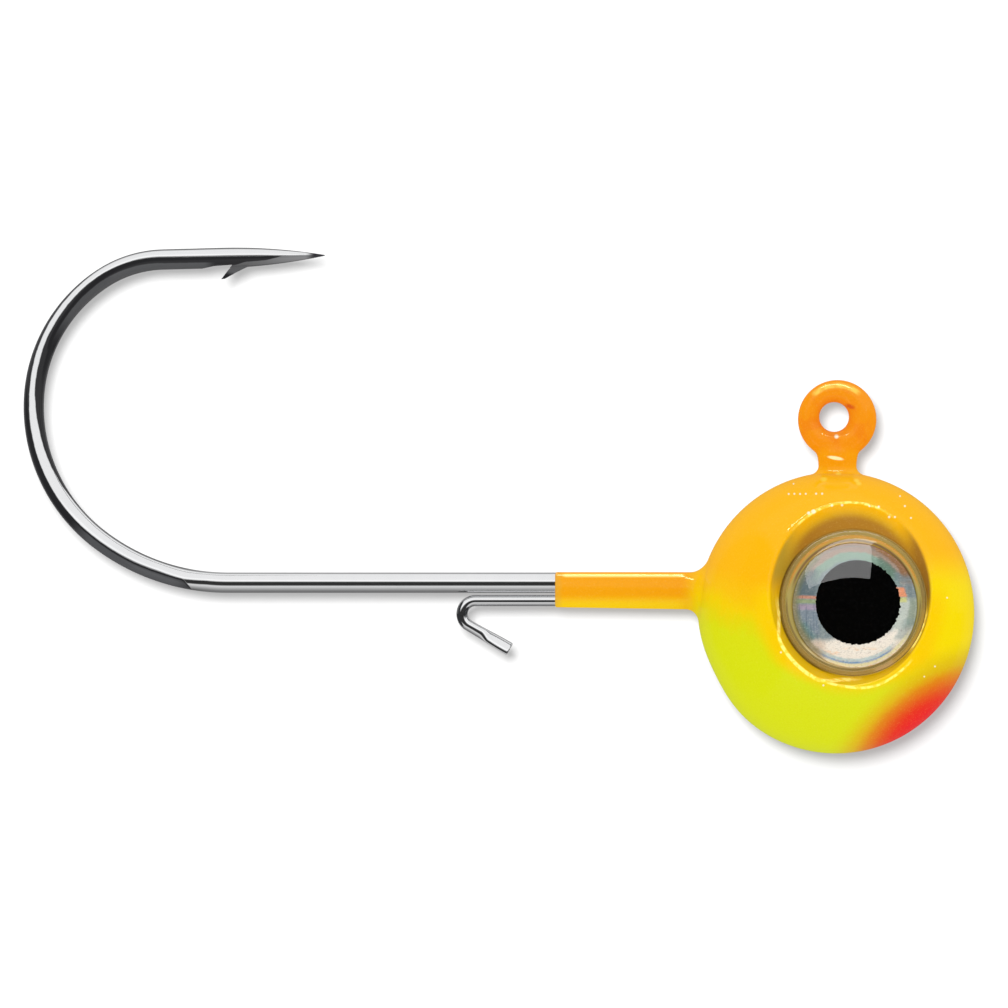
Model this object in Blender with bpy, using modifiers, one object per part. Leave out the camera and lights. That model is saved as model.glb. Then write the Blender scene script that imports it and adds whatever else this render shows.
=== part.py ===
"""Round-head fishing jig.

A lead ball is cast round a steel hook and a thin bait-keeper wire, dipped in
enamel, and finished with a domed stick-on eye in a socket on each side.

Frame: origin on the collar's axis at the lead's end face, where a soft bait meets
the head; +X out of the front of the head, +Z up through the line-tie ring, Y
across, with the hook and keeper wire in the plane y = 0.  The jig's own right
side is -Y and its left side is +Y.  Every piece is drawn about the centre of the
ball and hangs on the empty ball_centre, which sets it in the frame.
All lengths are in metres.
"""

import math

import bmesh
import bpy
from mathutils import Vector

MM = 0.001

# ---------------------------------------------------------------- dimensions

# Ball, measured over the enamel (half sizes along X, Y and Z)
BALL_RX = 5.70 * MM
BALL_RY = 5.75 * MM
BALL_RZ = 5.80 * MM

ENAMEL = 0.06 * MM              # thickness of the enamel
SEAT_GAP = 0.02 * MM            # clearance between touching pieces
LEAD_INSET = ENAMEL + SEAT_GAP  # from the enamel's surface in to the lead's

# Hook wire
WIRE_R = 0.42 * MM
SHANK_Z = 1.24 * MM             # shank axis above the ball's centre
SHANK_END_X = -25.07 * MM       # where the straight shank meets the bend
BEND = (                        # bend as tangent arcs: radius, degrees turned
    (8.73 * MM, 37.5),
    (6.86 * MM, 56.5),
    (6.29 * MM, 52.6),
    (4.75 * MM, 31.9),
)
POINT_TIP_X = -21.07 * MM       # the hook's tip
POINT_TAPER = 3.30 * MM         # length ground to the point
POINT_TIP_R = 0.018 * MM
POINT_CURVE = 1.45              # exponent of the taper; 1 would be a straight cone
NECK_X = 0.05 * MM              # wire axis where it leaves the ball
HEAD_BEND_R = 1.60 * MM         # 90 degree bend buried in the ball

# Line-tie ring
RING_Z = 7.975 * MM             # ring centre above the ball's centre
RING_R = 1.11 * MM              # radius of the wire's axis
RING_COAT_R = 0.505 * MM        # half thickness of the ring over the enamel
RING_EASE_R = 0.60 * MM         # small reverse bend that leads into the ring
RING_END = 250.0                # degrees: where the wire's cut end closes the ring

# Barb, on the underside of the point leg
BARB_TIP_X = -25.31 * MM
BARB_TIP_Z = 13.75 * MM
BARB_TIP_EDGE = (-0.01 * MM, 0.06 * MM)    # rear corner of the tip, from the tip
BARB_ROOT_X = -24.93 * MM
BARB_FRONT_X = -24.30 * MM
BARB_KNEE = (-0.36 * MM, -0.17 * MM)       # corner of the front slope, from its top
BARB_FRONT_LIFT = 0.02 * MM     # top of the front slope above the leg's underside
BARB_BURY = 0.30 * MM           # depth of the blade inside the wire
BARB_BURY_FRONT = 0.05 * MM     # buried edge's reach in front of the blade
BARB_BURY_REAR = 0.02 * MM      # buried edge's reach behind the root
BARB_WIDTH = 0.34 * MM

# Notch cut behind the barb
NOTCH_DEPTH = 0.13 * MM         # bite into the wire at the barb's root
NOTCH_FALL = 0.16 * MM          # drop of its upper face toward the rear
NOTCH_REACH = 0.72 * MM         # rear end behind the barb's tip
NOTCH_FOOT_REACH = 0.075 * MM   # front corner of its foot behind the barb's tip
NOTCH_FOOT = 0.10 * MM          # foot below the barb's tip
NOTCH_WIDTH = 1.4 * MM

# Keeper wire
KEEPER_R = 0.23 * MM
KEEPER_Z = 0.503 * MM
KEEPER_NOSE_X = -14.868 * MM    # centre of the nose bend
KEEPER_NOSE_R = 0.548 * MM
KEEPER_NOSE_TURN = 150.0
KEEPER_LEG = 1.937 * MM
KEEPER_ANCHOR_X = -4.40 * MM    # where the cast-in end starts to bend
KEEPER_ANCHOR_R = 0.70 * MM
KEEPER_ANCHOR_TURN = 55.0
KEEPER_ANCHOR_LEG = 0.90 * MM

# Collar behind the ball
COLLAR_R = 0.805 * MM
COLLAR_Z = 0.9665 * MM
COLLAR_END_X = -11.58 * MM
COLLAR_LEAD_END_X = COLLAR_END_X + SEAT_GAP
COLLAR_OPENING = 1.0 * MM       # run of the enamel's inside past the collar's end
COLLAR_FILLET_X = -6.15 * MM
COLLAR_FILLET_R = 0.60 * MM
COLLAR_FILLET_ANGLES = (0.0, 25.0, 50.0, 70.0)
COLLAR_SKIRT = (                # steps out and down from the fillet's last point
    (0.55 * MM, 0.38 * MM),
    (0.85 * MM, 0.74 * MM),
    (0.85 * MM, 1.60 * MM),
)

# Neck under the ring
NECK_R = 0.80 * MM
NECK_FLAT = 0.76                # its width across Y as a share of its width along X
NECK_TOP_Z = 6.85 * MM
NECK_LEAD_TOP_Z = NECK_TOP_Z - 0.16 * MM
NECK_CHAMFER_IN = 0.10 * MM
NECK_CHAMFER_DOWN = 0.12 * MM
NECK_FILLET_Z = 6.10 * MM
NECK_FILLET_R = 0.34 * MM
NECK_FILLET_ANGLES = (0.0, 25.0, 50.0, 72.0)
NECK_SKIRT = (                  # steps out and down from the fillet's last point
    (0.22 * MM, 0.30 * MM),
    (0.22 * MM, 1.00 * MM),
)

# Eye and its socket
SIDES = (("right", -1), ("left", 1))    # label, direction along Y
EYE_X = 0.72 * MM
EYE_Z = 0.40 * MM
SOCKET_FLOOR_Y = 3.10 * MM
SOCKET_FLOOR_R = 3.06 * MM
SOCKET_RIM_X = 0.585 * MM
SOCKET_RIM_Z = 0.787 * MM
SOCKET_RIM_RX = 3.314 * MM
SOCKET_RIM_RZ = 3.780 * MM
SOCKET_WALL_RUN = 0.6 * MM      # run of the sloped wall past the rim
SOCKET_CUT_PAST = 1.0 * MM      # reach of the cutter beyond the ball

PAD_R = 2.80 * MM
PAD_T = 0.12 * MM
FOIL_R = 2.42 * MM
FOIL_T = 0.06 * MM
PUPIL_R = 1.58 * MM
PUPIL_T = 0.04 * MM
DOME_FLANGE_R = 3.00 * MM
DOME_FLANGE_T = 0.34 * MM
DOME_FLANGE_CHAMFER = 0.05 * MM
DOME_STEP = 0.06 * MM           # upright step from the flange to the dome
DOME_R = 2.80 * MM
DOME_H = 1.40 * MM
DOME_POWERS = (2.2, 0.62)       # shape of the dome: h = (1 - r ** first) ** second

# Facets round each shape
N_BALL, N_BALL_RINGS = 48, 20
N_COLLAR = 24
N_NECK = 24
N_RING, N_RING_TUBE = 36, 14
N_SOCKET = 40
N_EYE = 36
N_DOME = 11                     # steps from the dome's top to its edge
N_TAPER = 6                     # steps along the ground point
WIRE_BEVEL = 4                  # bevel resolution of round wire
ARC_STEP = 9.0                  # degrees between points along a bent wire

# Edges steeper than these are shaded sharp (degrees)
SHARP_BODY = 35
SHARP_WIRE = 50

# Distances within which vertices are merged
WIRE_MERGE = 1e-7
TURN_MERGE = 1e-6


# ------------------------------------------------------------------- helpers

def clear_scene():
    for obj in list(bpy.data.objects):
        bpy.data.objects.remove(obj, do_unlink=True)


def new_collection(name):
    coll = bpy.data.collections.new(name)
    bpy.context.scene.collection.children.link(coll)
    return coll


def add_object(name, data, coll, mat=None):
    obj = bpy.data.objects.new(name, data)
    coll.objects.link(obj)
    if mat is not None:
        data.materials.append(mat)
    return obj


def empty(name, location, coll, rotation=(0.0, 0.0, 0.0)):
    obj = add_object(name, None, coll)
    obj.empty_display_size = 1.0 * MM
    obj.location = location
    obj.rotation_euler = rotation
    return obj


def as_cutter(obj):
    obj.hide_render = True
    obj.display_type = "WIRE"
    return obj


def boolean(obj, other, operation):
    mod = obj.modifiers.new(f"{operation.lower()} {other.name}", "BOOLEAN")
    mod.operation = operation
    mod.solver = "EXACT"
    mod.object = other


def shade(mesh, sharp_angle):
    mesh.shade_smooth()
    mesh.set_sharp_from_angle(angle=math.radians(sharp_angle))


def mesh_from(bm, name):
    mesh = bpy.data.meshes.new(name)
    bm.to_mesh(mesh)
    bm.free()
    shade(mesh, SHARP_BODY)
    return mesh


def turned(name, profile, segments, coll, mat=None):
    """Solid of revolution about local Z from (radius, height) pairs, top first."""
    bm = bmesh.new()
    verts = [bm.verts.new((radius, 0.0, z)) for radius, z in profile]
    for upper, lower in zip(verts, verts[1:]):
        bm.edges.new((upper, lower))
    mesh = bpy.data.meshes.new(name)
    bm.to_mesh(mesh)
    bm.free()
    obj = add_object(name, mesh, coll, mat)
    screw = obj.modifiers.new("turn", "SCREW")
    screw.axis = "Z"
    screw.angle = math.tau
    screw.steps = segments
    screw.render_steps = segments
    screw.use_merge_vertices = True
    screw.merge_threshold = TURN_MERGE
    screw.use_smooth_shade = True
    return obj


def prism(name, outline, width, coll):
    """Flat outline in (x, z), width thick and centred on y = 0."""
    bm = bmesh.new()
    face = bm.faces.new([bm.verts.new((x, -width / 2, z)) for x, z in outline])
    grown = bmesh.ops.extrude_face_region(bm, geom=[face])
    moved = [item for item in grown["geom"] if isinstance(item, bmesh.types.BMVert)]
    bmesh.ops.translate(bm, verts=moved, vec=(0.0, width, 0.0))
    bmesh.ops.recalc_face_normals(bm, faces=bm.faces)
    return as_cutter(add_object(name, mesh_from(bm, name), coll))


# ----------------------------------------------------------------- materials

def material(name, colour, roughness, metallic=0.0, coat=0.0, transmission=0.0):
    mat = bpy.data.materials.new(name)
    mat.use_nodes = True
    inputs = mat.node_tree.nodes["Principled BSDF"].inputs
    inputs["Base Color"].default_value = (*colour, 1.0)
    inputs["Roughness"].default_value = roughness
    inputs["Metallic"].default_value = metallic
    inputs["Coat Weight"].default_value = coat
    inputs["Transmission Weight"].default_value = transmission
    mat.diffuse_color = (*colour, 1.0)
    return mat


def make_materials():
    return {
        "steel": material("black nickel steel", colour=(0.16, 0.16, 0.17),
                          roughness=0.12, metallic=1.0),
        "spring": material("black nickel spring wire", colour=(0.18, 0.18, 0.19),
                           roughness=0.14, metallic=1.0),
        "lead": material("cast lead", colour=(0.30, 0.31, 0.33),
                         roughness=0.55, metallic=0.9),
        "enamel": material("orange to chartreuse enamel", colour=(0.95, 0.52, 0.02),
                           roughness=0.12, coat=0.8),
        "glue": material("eye adhesive", colour=(0.80, 0.76, 0.62), roughness=0.5),
        "foil": material("holographic foil", colour=(0.55, 0.66, 0.70),
                         roughness=0.18, metallic=0.9),
        "ink": material("pupil ink", colour=(0.01, 0.01, 0.01), roughness=0.4),
        "clear": material("clear lens", colour=(0.95, 0.95, 0.90),
                          roughness=0.03, transmission=0.95),
    }


# --------------------------------------------------------------------- wires

class Path:
    """A centreline in the plane y = 0, drawn as lines and tangent arcs."""

    def __init__(self, x, z, heading):
        self.points = [(x, z)]
        self.heading = math.radians(heading)

    def line(self, length):
        x, z = self.points[-1]
        self.points.append((x + length * math.cos(self.heading),
                            z + length * math.sin(self.heading)))
        return self

    def arc(self, radius, turn):
        """Turn left for a positive angle in degrees, right for a negative one."""
        x, z = self.points[-1]
        side = 1.0 if turn > 0 else -1.0
        start = self.heading - side * math.pi / 2
        centre_x = x - radius * math.cos(start)
        centre_z = z - radius * math.sin(start)
        steps = max(2, round(abs(turn) / ARC_STEP))
        for i in range(1, steps + 1):
            angle = start + math.radians(turn) * i / steps
            self.points.append((centre_x + radius * math.cos(angle),
                                centre_z + radius * math.sin(angle)))
        self.heading += math.radians(turn)
        return self


def wire(name, points, radius, coll, mat=None, scales=None):
    """Round wire along points in the plane y = 0, as a closed mesh object.

    scales gives the share of the radius at each point; without it the wire is
    even.
    """
    curve = bpy.data.curves.new(name, "CURVE")
    curve.dimensions = "3D"
    curve.bevel_depth = radius
    curve.bevel_resolution = WIRE_BEVEL
    curve.use_fill_caps = True
    spline = curve.splines.new("POLY")
    spline.points.add(len(points) - 1)
    for i, (x, z) in enumerate(points):
        spline.points[i].co = (x, 0.0, z, 1.0)
        spline.points[i].radius = scales[i] if scales else 1.0
    guide = add_object(name + " curve", curve, coll)
    bpy.context.view_layer.update()
    depsgraph = bpy.context.evaluated_depsgraph_get()
    mesh = bpy.data.meshes.new_from_object(guide.evaluated_get(depsgraph))
    bpy.data.objects.remove(guide, do_unlink=True)
    bpy.data.curves.remove(curve)

    bm = bmesh.new()
    bm.from_mesh(mesh)
    bmesh.ops.remove_doubles(bm, verts=bm.verts, dist=WIRE_MERGE)
    bmesh.ops.recalc_face_normals(bm, faces=bm.faces)
    bm.to_mesh(mesh)
    bm.free()
    mesh.name = name
    mesh.materials.clear()
    shade(mesh, SHARP_WIRE)
    return add_object(name, mesh, coll, mat)


def hook_path():
    """Centreline points from the cut end of the ring round to the tip."""
    # ring, from its cut end round to the reverse bend
    drop = math.sqrt(RING_R ** 2 + 2 * RING_R * RING_EASE_R)
    ease_z = RING_Z - drop
    ease_turn = 180.0 - math.degrees(math.atan2(drop, -RING_EASE_R))
    start = math.radians(RING_END)
    path = Path(NECK_X + RING_R * math.cos(start), RING_Z + RING_R * math.sin(start),
                RING_END - 90.0)
    path.arc(RING_R, -((RING_END + ease_turn) % 360.0))
    path.arc(RING_EASE_R, ease_turn)
    # neck, the 90 degree bend inside the ball, and the shank
    path.line(ease_z - (SHANK_Z + HEAD_BEND_R))
    path.arc(HEAD_BEND_R, -90.0)
    path.line((NECK_X - HEAD_BEND_R) - SHANK_END_X)
    for radius, turn in BEND:
        path.arc(radius, -turn)
    # point leg, with extra points where it is ground to a tip
    path.line((POINT_TIP_X - path.points[-1][0]) / math.cos(path.heading) - POINT_TAPER)
    for _ in range(N_TAPER):
        path.line(POINT_TAPER / N_TAPER)
    return path.points


def hook_scales(points):
    """Share of the wire's radius at each point of the hook."""
    tip = POINT_TIP_R / WIRE_R
    taper = [tip + (1.0 - tip) * (1.0 - (i / N_TAPER) ** POINT_CURVE)
             for i in range(1, N_TAPER + 1)]
    return [1.0] * (len(points) - N_TAPER) + taper


def keeper_path():
    """Centreline from the cast-in end, back under the shank, to the leg's end."""
    anchor = Path(KEEPER_ANCHOR_X, KEEPER_Z, 0.0)
    anchor.arc(KEEPER_ANCHOR_R, -KEEPER_ANCHOR_TURN)
    anchor.line(KEEPER_ANCHOR_LEG)
    run = Path(KEEPER_ANCHOR_X, KEEPER_Z, 180.0)
    run.line(KEEPER_ANCHOR_X - KEEPER_NOSE_X)
    run.arc(KEEPER_NOSE_R, KEEPER_NOSE_TURN)
    run.line(KEEPER_LEG)
    return anchor.points[::-1] + run.points[1:]


def point_leg_edge(points, x):
    """Height of the point leg's underside at x."""
    # the leg runs from the end of the bend to the tip
    (x0, z0), (x1, z1) = points[-2 - N_TAPER], points[-1]
    return z0 + (z1 - z0) * (x - x0) / (x1 - x0) - WIRE_R


def barb_blade(points, coll):
    """The spur raised from the underside of the point leg."""
    root = point_leg_edge(points, BARB_ROOT_X)
    front = point_leg_edge(points, BARB_FRONT_X)
    outline = [
        (BARB_TIP_X, BARB_TIP_Z),
        (BARB_FRONT_X + BARB_KNEE[0], front + BARB_KNEE[1]),
        (BARB_FRONT_X, front + BARB_FRONT_LIFT),
        (BARB_FRONT_X + BARB_BURY_FRONT, front + BARB_BURY),
        (BARB_ROOT_X - BARB_BURY_REAR, root + BARB_BURY),
        (BARB_TIP_X + BARB_TIP_EDGE[0], BARB_TIP_Z + BARB_TIP_EDGE[1]),
    ]
    return prism("hook barb", outline, BARB_WIDTH, coll)


def barb_notch(points, coll):
    """The cut behind the spur, along its rear face."""
    top = point_leg_edge(points, BARB_ROOT_X) + NOTCH_DEPTH
    foot = BARB_TIP_Z - NOTCH_FOOT
    outline = [
        (BARB_ROOT_X, top),
        (BARB_TIP_X - NOTCH_REACH, top - NOTCH_FALL),
        (BARB_TIP_X - NOTCH_REACH, foot),
        (BARB_TIP_X - NOTCH_FOOT_REACH, foot),
    ]
    return prism("hook barb notch", outline, NOTCH_WIDTH, coll)


def build_hook(parts, cutters, mat):
    """Hook with its barb; returns the channel it fills in the head."""
    points = hook_path()
    hook = wire("hook", points, WIRE_R, parts, mat, hook_scales(points))
    boolean(hook, barb_blade(points, cutters), "UNION")
    boolean(hook, barb_notch(points, cutters), "DIFFERENCE")
    return as_cutter(wire("hook channel", points, WIRE_R + SEAT_GAP, cutters))


def build_keeper(parts, cutters, mat):
    """Keeper wire; returns the channel it fills in the lead."""
    points = keeper_path()
    wire("keeper_wire", points, KEEPER_R, parts, mat)
    return as_cutter(wire("keeper channel", points, KEEPER_R + SEAT_GAP, cutters))


# ---------------------------------------------------------------------- head

def ball(name, inset, coll, mat=None):
    """The ball, drawn in by inset, with its poles on the Y axis."""
    bm = bmesh.new()
    bmesh.ops.create_uvsphere(bm, u_segments=N_BALL, v_segments=N_BALL_RINGS, radius=1.0)
    for vert in bm.verts:
        x, y, z = vert.co
        vert.co = Vector((x * (BALL_RX - inset), z * (BALL_RY - inset),
                          -y * (BALL_RZ - inset)))
    return add_object(name, mesh_from(bm, name), coll, mat)


def flared_foot(radius, height, fillet_r, angles, skirt):
    """Profile of a fillet that flares downward, its skirt, and the closing base."""
    profile = []
    for degrees in angles:
        angle = math.radians(degrees)
        profile.append((radius + fillet_r * (1.0 - math.cos(angle)),
                        height - fillet_r * math.sin(angle)))
    last_r, last_z = profile[-1]
    profile += [(last_r + out, last_z - down) for out, down in skirt]
    profile.append((0.0, profile[-1][1]))
    return profile


def collar(name, inset, end_x, coll):
    """Collar and the trumpet that blends it into the ball, along -X."""
    radius = COLLAR_R - inset
    profile = [(0.0, -end_x), (radius, -end_x)]
    profile += flared_foot(radius, -COLLAR_FILLET_X - inset, COLLAR_FILLET_R,
                           COLLAR_FILLET_ANGLES, COLLAR_SKIRT)
    obj = turned(name, profile, N_COLLAR, coll)
    obj.location = (0.0, 0.0, COLLAR_Z)
    obj.rotation_euler = (0.0, -math.pi / 2, 0.0)
    return as_cutter(obj)


def neck(name, inset, top_z, coll):
    """Short oval post that carries the ring, flared where it meets the ball."""
    radius = NECK_R - inset
    profile = [(0.0, top_z), (radius - NECK_CHAMFER_IN, top_z),
               (radius, top_z - NECK_CHAMFER_DOWN)]
    profile += flared_foot(radius, NECK_FILLET_Z - inset, NECK_FILLET_R,
                           NECK_FILLET_ANGLES, NECK_SKIRT)
    obj = turned(name, profile, N_NECK, coll)
    obj.location = (NECK_X, 0.0, 0.0)
    obj.scale = (1.0, NECK_FLAT, 1.0)
    return as_cutter(obj)


def ring(name, coll):
    """Line-tie ring over the enamel."""
    bpy.ops.mesh.primitive_torus_add(
        major_segments=N_RING, minor_segments=N_RING_TUBE,
        major_radius=RING_R, minor_radius=RING_COAT_R,
        location=(NECK_X, 0.0, RING_Z), rotation=(math.pi / 2, 0.0, 0.0))
    obj = bpy.context.object
    obj.name = name
    for other in list(obj.users_collection):
        other.objects.unlink(obj)
    coll.objects.link(obj)
    return as_cutter(obj)


def ball_y(x, z, inset):
    """Half width of the ball, drawn in by inset, at (x, z)."""
    share = (x / (BALL_RX - inset)) ** 2 + (z / (BALL_RZ - inset)) ** 2
    return (BALL_RY - inset) * math.sqrt(max(0.0, 1.0 - share))


def socket(name, side, grow, coll):
    """Cutter for an eye socket: round flat floor, oval rim lying on the ball.

    grow enlarges it all round, for the sockets under the enamel's surface.
    """
    bm = bmesh.new()
    rows = [[], [], [], []]     # floor, rim, end of the sloped wall, outer end
    for i in range(N_SOCKET):
        angle = math.tau * i / N_SOCKET
        cos, sin = math.cos(angle), math.sin(angle)
        floor = Vector((EYE_X + (SOCKET_FLOOR_R + grow) * cos,
                        SOCKET_FLOOR_Y - grow,
                        EYE_Z + (SOCKET_FLOOR_R + grow) * sin))
        x = SOCKET_RIM_X + (SOCKET_RIM_RX + grow) * cos
        z = SOCKET_RIM_Z + (SOCKET_RIM_RZ + grow) * sin
        rim = Vector((x, ball_y(x, z, grow), z))
        wall_end = rim + (rim - floor).normalized() * SOCKET_WALL_RUN
        outer = Vector((wall_end.x, BALL_RY + SOCKET_CUT_PAST, wall_end.z))
        for row, point in zip(rows, (floor, rim, wall_end, outer)):
            row.append(Vector((point.x, point.y * side, point.z)))
    rows = [[bm.verts.new(point) for point in row] for row in rows]
    for near, away in zip(rows, rows[1:]):
        for i in range(N_SOCKET):
            j = (i + 1) % N_SOCKET
            bm.faces.new((near[i], near[j], away[j], away[i]))
    bm.faces.new(rows[0])
    bm.faces.new(rows[-1])
    bmesh.ops.triangulate(bm, faces=[f for f in bm.faces if len(f.verts) == 4])
    bmesh.ops.recalc_face_normals(bm, faces=bm.faces)
    return as_cutter(add_object(name, mesh_from(bm, name), coll))


def head_body(body, prefix, inset, collar_end_x, neck_top_z, cutters, extras=()):
    """Join the collar, neck and extras to a ball, then cut both eye sockets."""
    joined = (collar(f"{prefix} collar", inset, collar_end_x, cutters),
              neck(f"{prefix} neck", inset, neck_top_z, cutters),
              *extras)
    for piece in joined:
        boolean(body, piece, "UNION")
    for label, side in SIDES:
        cutter = socket(f"{prefix} socket {label}", side, inset, cutters)
        boolean(body, cutter, "DIFFERENCE")


def build_lead(parts, cutters, mat, channels):
    head = ball("head_casting", LEAD_INSET, parts, mat)
    head_body(head, "lead", LEAD_INSET, COLLAR_LEAD_END_X, NECK_LEAD_TOP_Z, cutters)
    for channel in channels:
        boolean(head, channel, "DIFFERENCE")


def enamel_inside(cutters):
    """The space the enamel leaves for the lead, open at the collar's end."""
    inside = as_cutter(ball("enamel inside", ENAMEL, cutters))
    head_body(inside, "inside", ENAMEL, COLLAR_END_X - COLLAR_OPENING,
              NECK_LEAD_TOP_Z + SEAT_GAP, cutters)
    return inside


def build_coat(parts, cutters, mat, hook_channel):
    coat = ball("paint_coat", 0.0, parts, mat)
    head_body(coat, "coat", 0.0, COLLAR_END_X, NECK_TOP_Z, cutters,
              extras=(ring("coat ring", cutters),))
    boolean(coat, enamel_inside(cutters), "DIFFERENCE")
    boolean(coat, hook_channel, "DIFFERENCE")


# ---------------------------------------------------------------------- eyes

def disc_profile(radius, thickness):
    return [(0.0, thickness), (radius, thickness), (radius, 0.0), (0.0, 0.0)]


def dome_profile():
    """Clear lens: dome, step and flange, with a recess over the foil and pupil."""
    recess_r = FOIL_R + SEAT_GAP
    recess_z = FOIL_T + PUPIL_T + 2 * SEAT_GAP
    inner_power, outer_power = DOME_POWERS
    profile = []
    for i in range(N_DOME + 1):
        radius = DOME_R * math.sin(0.5 * math.pi * i / N_DOME)
        rise = DOME_H * (1.0 - (radius / DOME_R) ** inner_power) ** outer_power
        profile.append((radius, DOME_FLANGE_T + DOME_STEP + rise))
    return profile + [
        (DOME_R, DOME_FLANGE_T),
        (DOME_FLANGE_R - DOME_FLANGE_CHAMFER, DOME_FLANGE_T),
        (DOME_FLANGE_R, DOME_FLANGE_T - DOME_FLANGE_CHAMFER),
        (DOME_FLANGE_R, 0.0),
        (recess_r, 0.0),
        (recess_r, recess_z),
        (0.0, recess_z),
    ]


def build_eye(label, side, parts, mats):
    """Stack of adhesive, foil, pupil and lens along the socket's outward axis."""
    seat = empty(f"eye_seat_{label}", (EYE_X, side * SOCKET_FLOOR_Y, EYE_Z), parts,
                 rotation=(-side * math.pi / 2, 0.0, 0.0))
    foil_z = SEAT_GAP + (PAD_T + SEAT_GAP)
    stack = (                   # piece, profile, height above the floor, material
        ("adhesive", disc_profile(PAD_R, PAD_T), SEAT_GAP, "glue"),
        ("foil", disc_profile(FOIL_R, FOIL_T), foil_z, "foil"),
        ("pupil", disc_profile(PUPIL_R, PUPIL_T), foil_z + FOIL_T + SEAT_GAP, "ink"),
        ("dome", dome_profile(), foil_z, "clear"),
    )
    for piece, profile, height, mat in stack:
        obj = turned(f"eye_{piece}_{label}", profile, N_EYE, parts, mats[mat])
        obj.location = (0.0, 0.0, height)
        obj.parent = seat


# --------------------------------------------------------------------- build

def build():
    clear_scene()
    parts = new_collection("Jig Head")
    cutters = new_collection("Jig Head cutters")
    mats = make_materials()
    centre = empty("ball_centre", (-COLLAR_LEAD_END_X, 0.0, -COLLAR_Z), parts)

    hook_channel = build_hook(parts, cutters, mats["steel"])
    keeper_channel = build_keeper(parts, cutters, mats["spring"])
    build_lead(parts, cutters, mats["lead"], (hook_channel, keeper_channel))
    build_coat(parts, cutters, mats["enamel"], hook_channel)
    for label, side in SIDES:
        build_eye(label, side, parts, mats)

    for obj in list(parts.objects) + list(cutters.objects):
        if obj is not centre and obj.parent is None:
            obj.parent = centre


build()
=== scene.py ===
# Round-head jig: a painted lead ball with a collar, a neck and a ring, two domed eyes,
# a hook and a bait keeper wire.
# Pieces are drawn in millimetres about the centre of the ball, then set in the row frame.
# +X runs from the collar to the front of the ball, +Z is up, right is -Y and left is +Y.
import math
from itertools import combinations, product

import bmesh
import bpy
import numpy as np
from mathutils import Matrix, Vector


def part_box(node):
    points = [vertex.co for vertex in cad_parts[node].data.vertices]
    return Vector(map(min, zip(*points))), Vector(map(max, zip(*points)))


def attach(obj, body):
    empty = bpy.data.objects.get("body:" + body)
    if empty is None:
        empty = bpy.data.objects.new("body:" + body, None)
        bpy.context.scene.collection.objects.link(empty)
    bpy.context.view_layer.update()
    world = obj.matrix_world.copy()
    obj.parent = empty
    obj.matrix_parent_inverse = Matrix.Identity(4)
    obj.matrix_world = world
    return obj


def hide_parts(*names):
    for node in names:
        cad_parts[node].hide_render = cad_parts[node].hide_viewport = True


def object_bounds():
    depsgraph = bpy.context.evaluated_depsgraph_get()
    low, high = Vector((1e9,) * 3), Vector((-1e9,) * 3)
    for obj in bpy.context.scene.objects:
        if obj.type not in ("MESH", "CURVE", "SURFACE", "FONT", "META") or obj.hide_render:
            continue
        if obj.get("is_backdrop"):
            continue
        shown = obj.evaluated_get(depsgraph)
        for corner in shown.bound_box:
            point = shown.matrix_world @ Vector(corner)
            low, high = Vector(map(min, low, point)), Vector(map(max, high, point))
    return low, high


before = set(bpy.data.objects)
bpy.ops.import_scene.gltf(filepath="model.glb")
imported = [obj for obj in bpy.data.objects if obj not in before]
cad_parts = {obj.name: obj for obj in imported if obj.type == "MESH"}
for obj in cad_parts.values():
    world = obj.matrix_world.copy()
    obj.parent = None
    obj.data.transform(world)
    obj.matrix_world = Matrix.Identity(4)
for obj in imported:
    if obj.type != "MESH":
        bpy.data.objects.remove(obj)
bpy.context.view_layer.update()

MM = 0.001

R_BALL = np.array([5.70, 5.75, 5.80])
coat_lo, coat_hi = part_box("paint_coat")
CENTRE = np.array([coat_hi.x / MM - R_BALL[0], 0.0, coat_lo.z / MM + R_BALL[2]])

COLLAR_END = -11.58
EYE_X, EYE_Z = 0.72, 0.40
SOCKET_FLOOR_Y = 3.10
SOCKET_FLOOR_R = 3.06
RIM_X, RIM_Z = 0.585, 0.787              # centre of the socket's rim
RIM_RX, RIM_RZ = 3.314, 3.780

RING_HOLE = np.array([-0.078, 8.071])    # centres in x, z
RING_OUTER = np.array([0.0495, 7.976])
RING_OUTER_R, RING_HOLE_R = 1.616, 0.608

FIELD_LO, FIELD_HI = (-11.75, -5.95, -5.98), (5.9, 5.95, 9.75)
COAT_STEP = 0.085
HIDDEN_STEP = 0.16                       # mesh step of the surfaces under the paint
COAT_THICK = 0.060
LEAD_GAP = 0.085
LEAD_TOP = 6.9


# ------------------------------------------------------------ distance fields

def length(p):
    return np.sqrt((p * p).sum(-1))


def ellipsoid(p, radii):
    q = p / radii
    k0 = length(q)
    k1 = np.maximum(length(q / radii), 1e-6)
    return k0 * (k0 - 1.0) / k1


def join(a, b, round_r):
    """Union with a rounded inside corner."""
    u = np.maximum(round_r - a, 0.0)
    v = np.maximum(round_r - b, 0.0)
    return np.maximum(round_r, np.minimum(a, b)) - np.sqrt(u * u + v * v)


def trim(a, b, round_r):
    """What is common to a and b, with the outside corner rounded."""
    u = np.maximum(round_r + a, 0.0)
    v = np.maximum(round_r + b, 0.0)
    return np.minimum(-round_r, np.maximum(a, b)) + np.sqrt(u * u + v * v)


def smooth(start, end, value):
    t = np.clip((value - start) / (end - start), 0.0, 1.0)
    return t * t * (3.0 - 2.0 * t)


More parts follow.
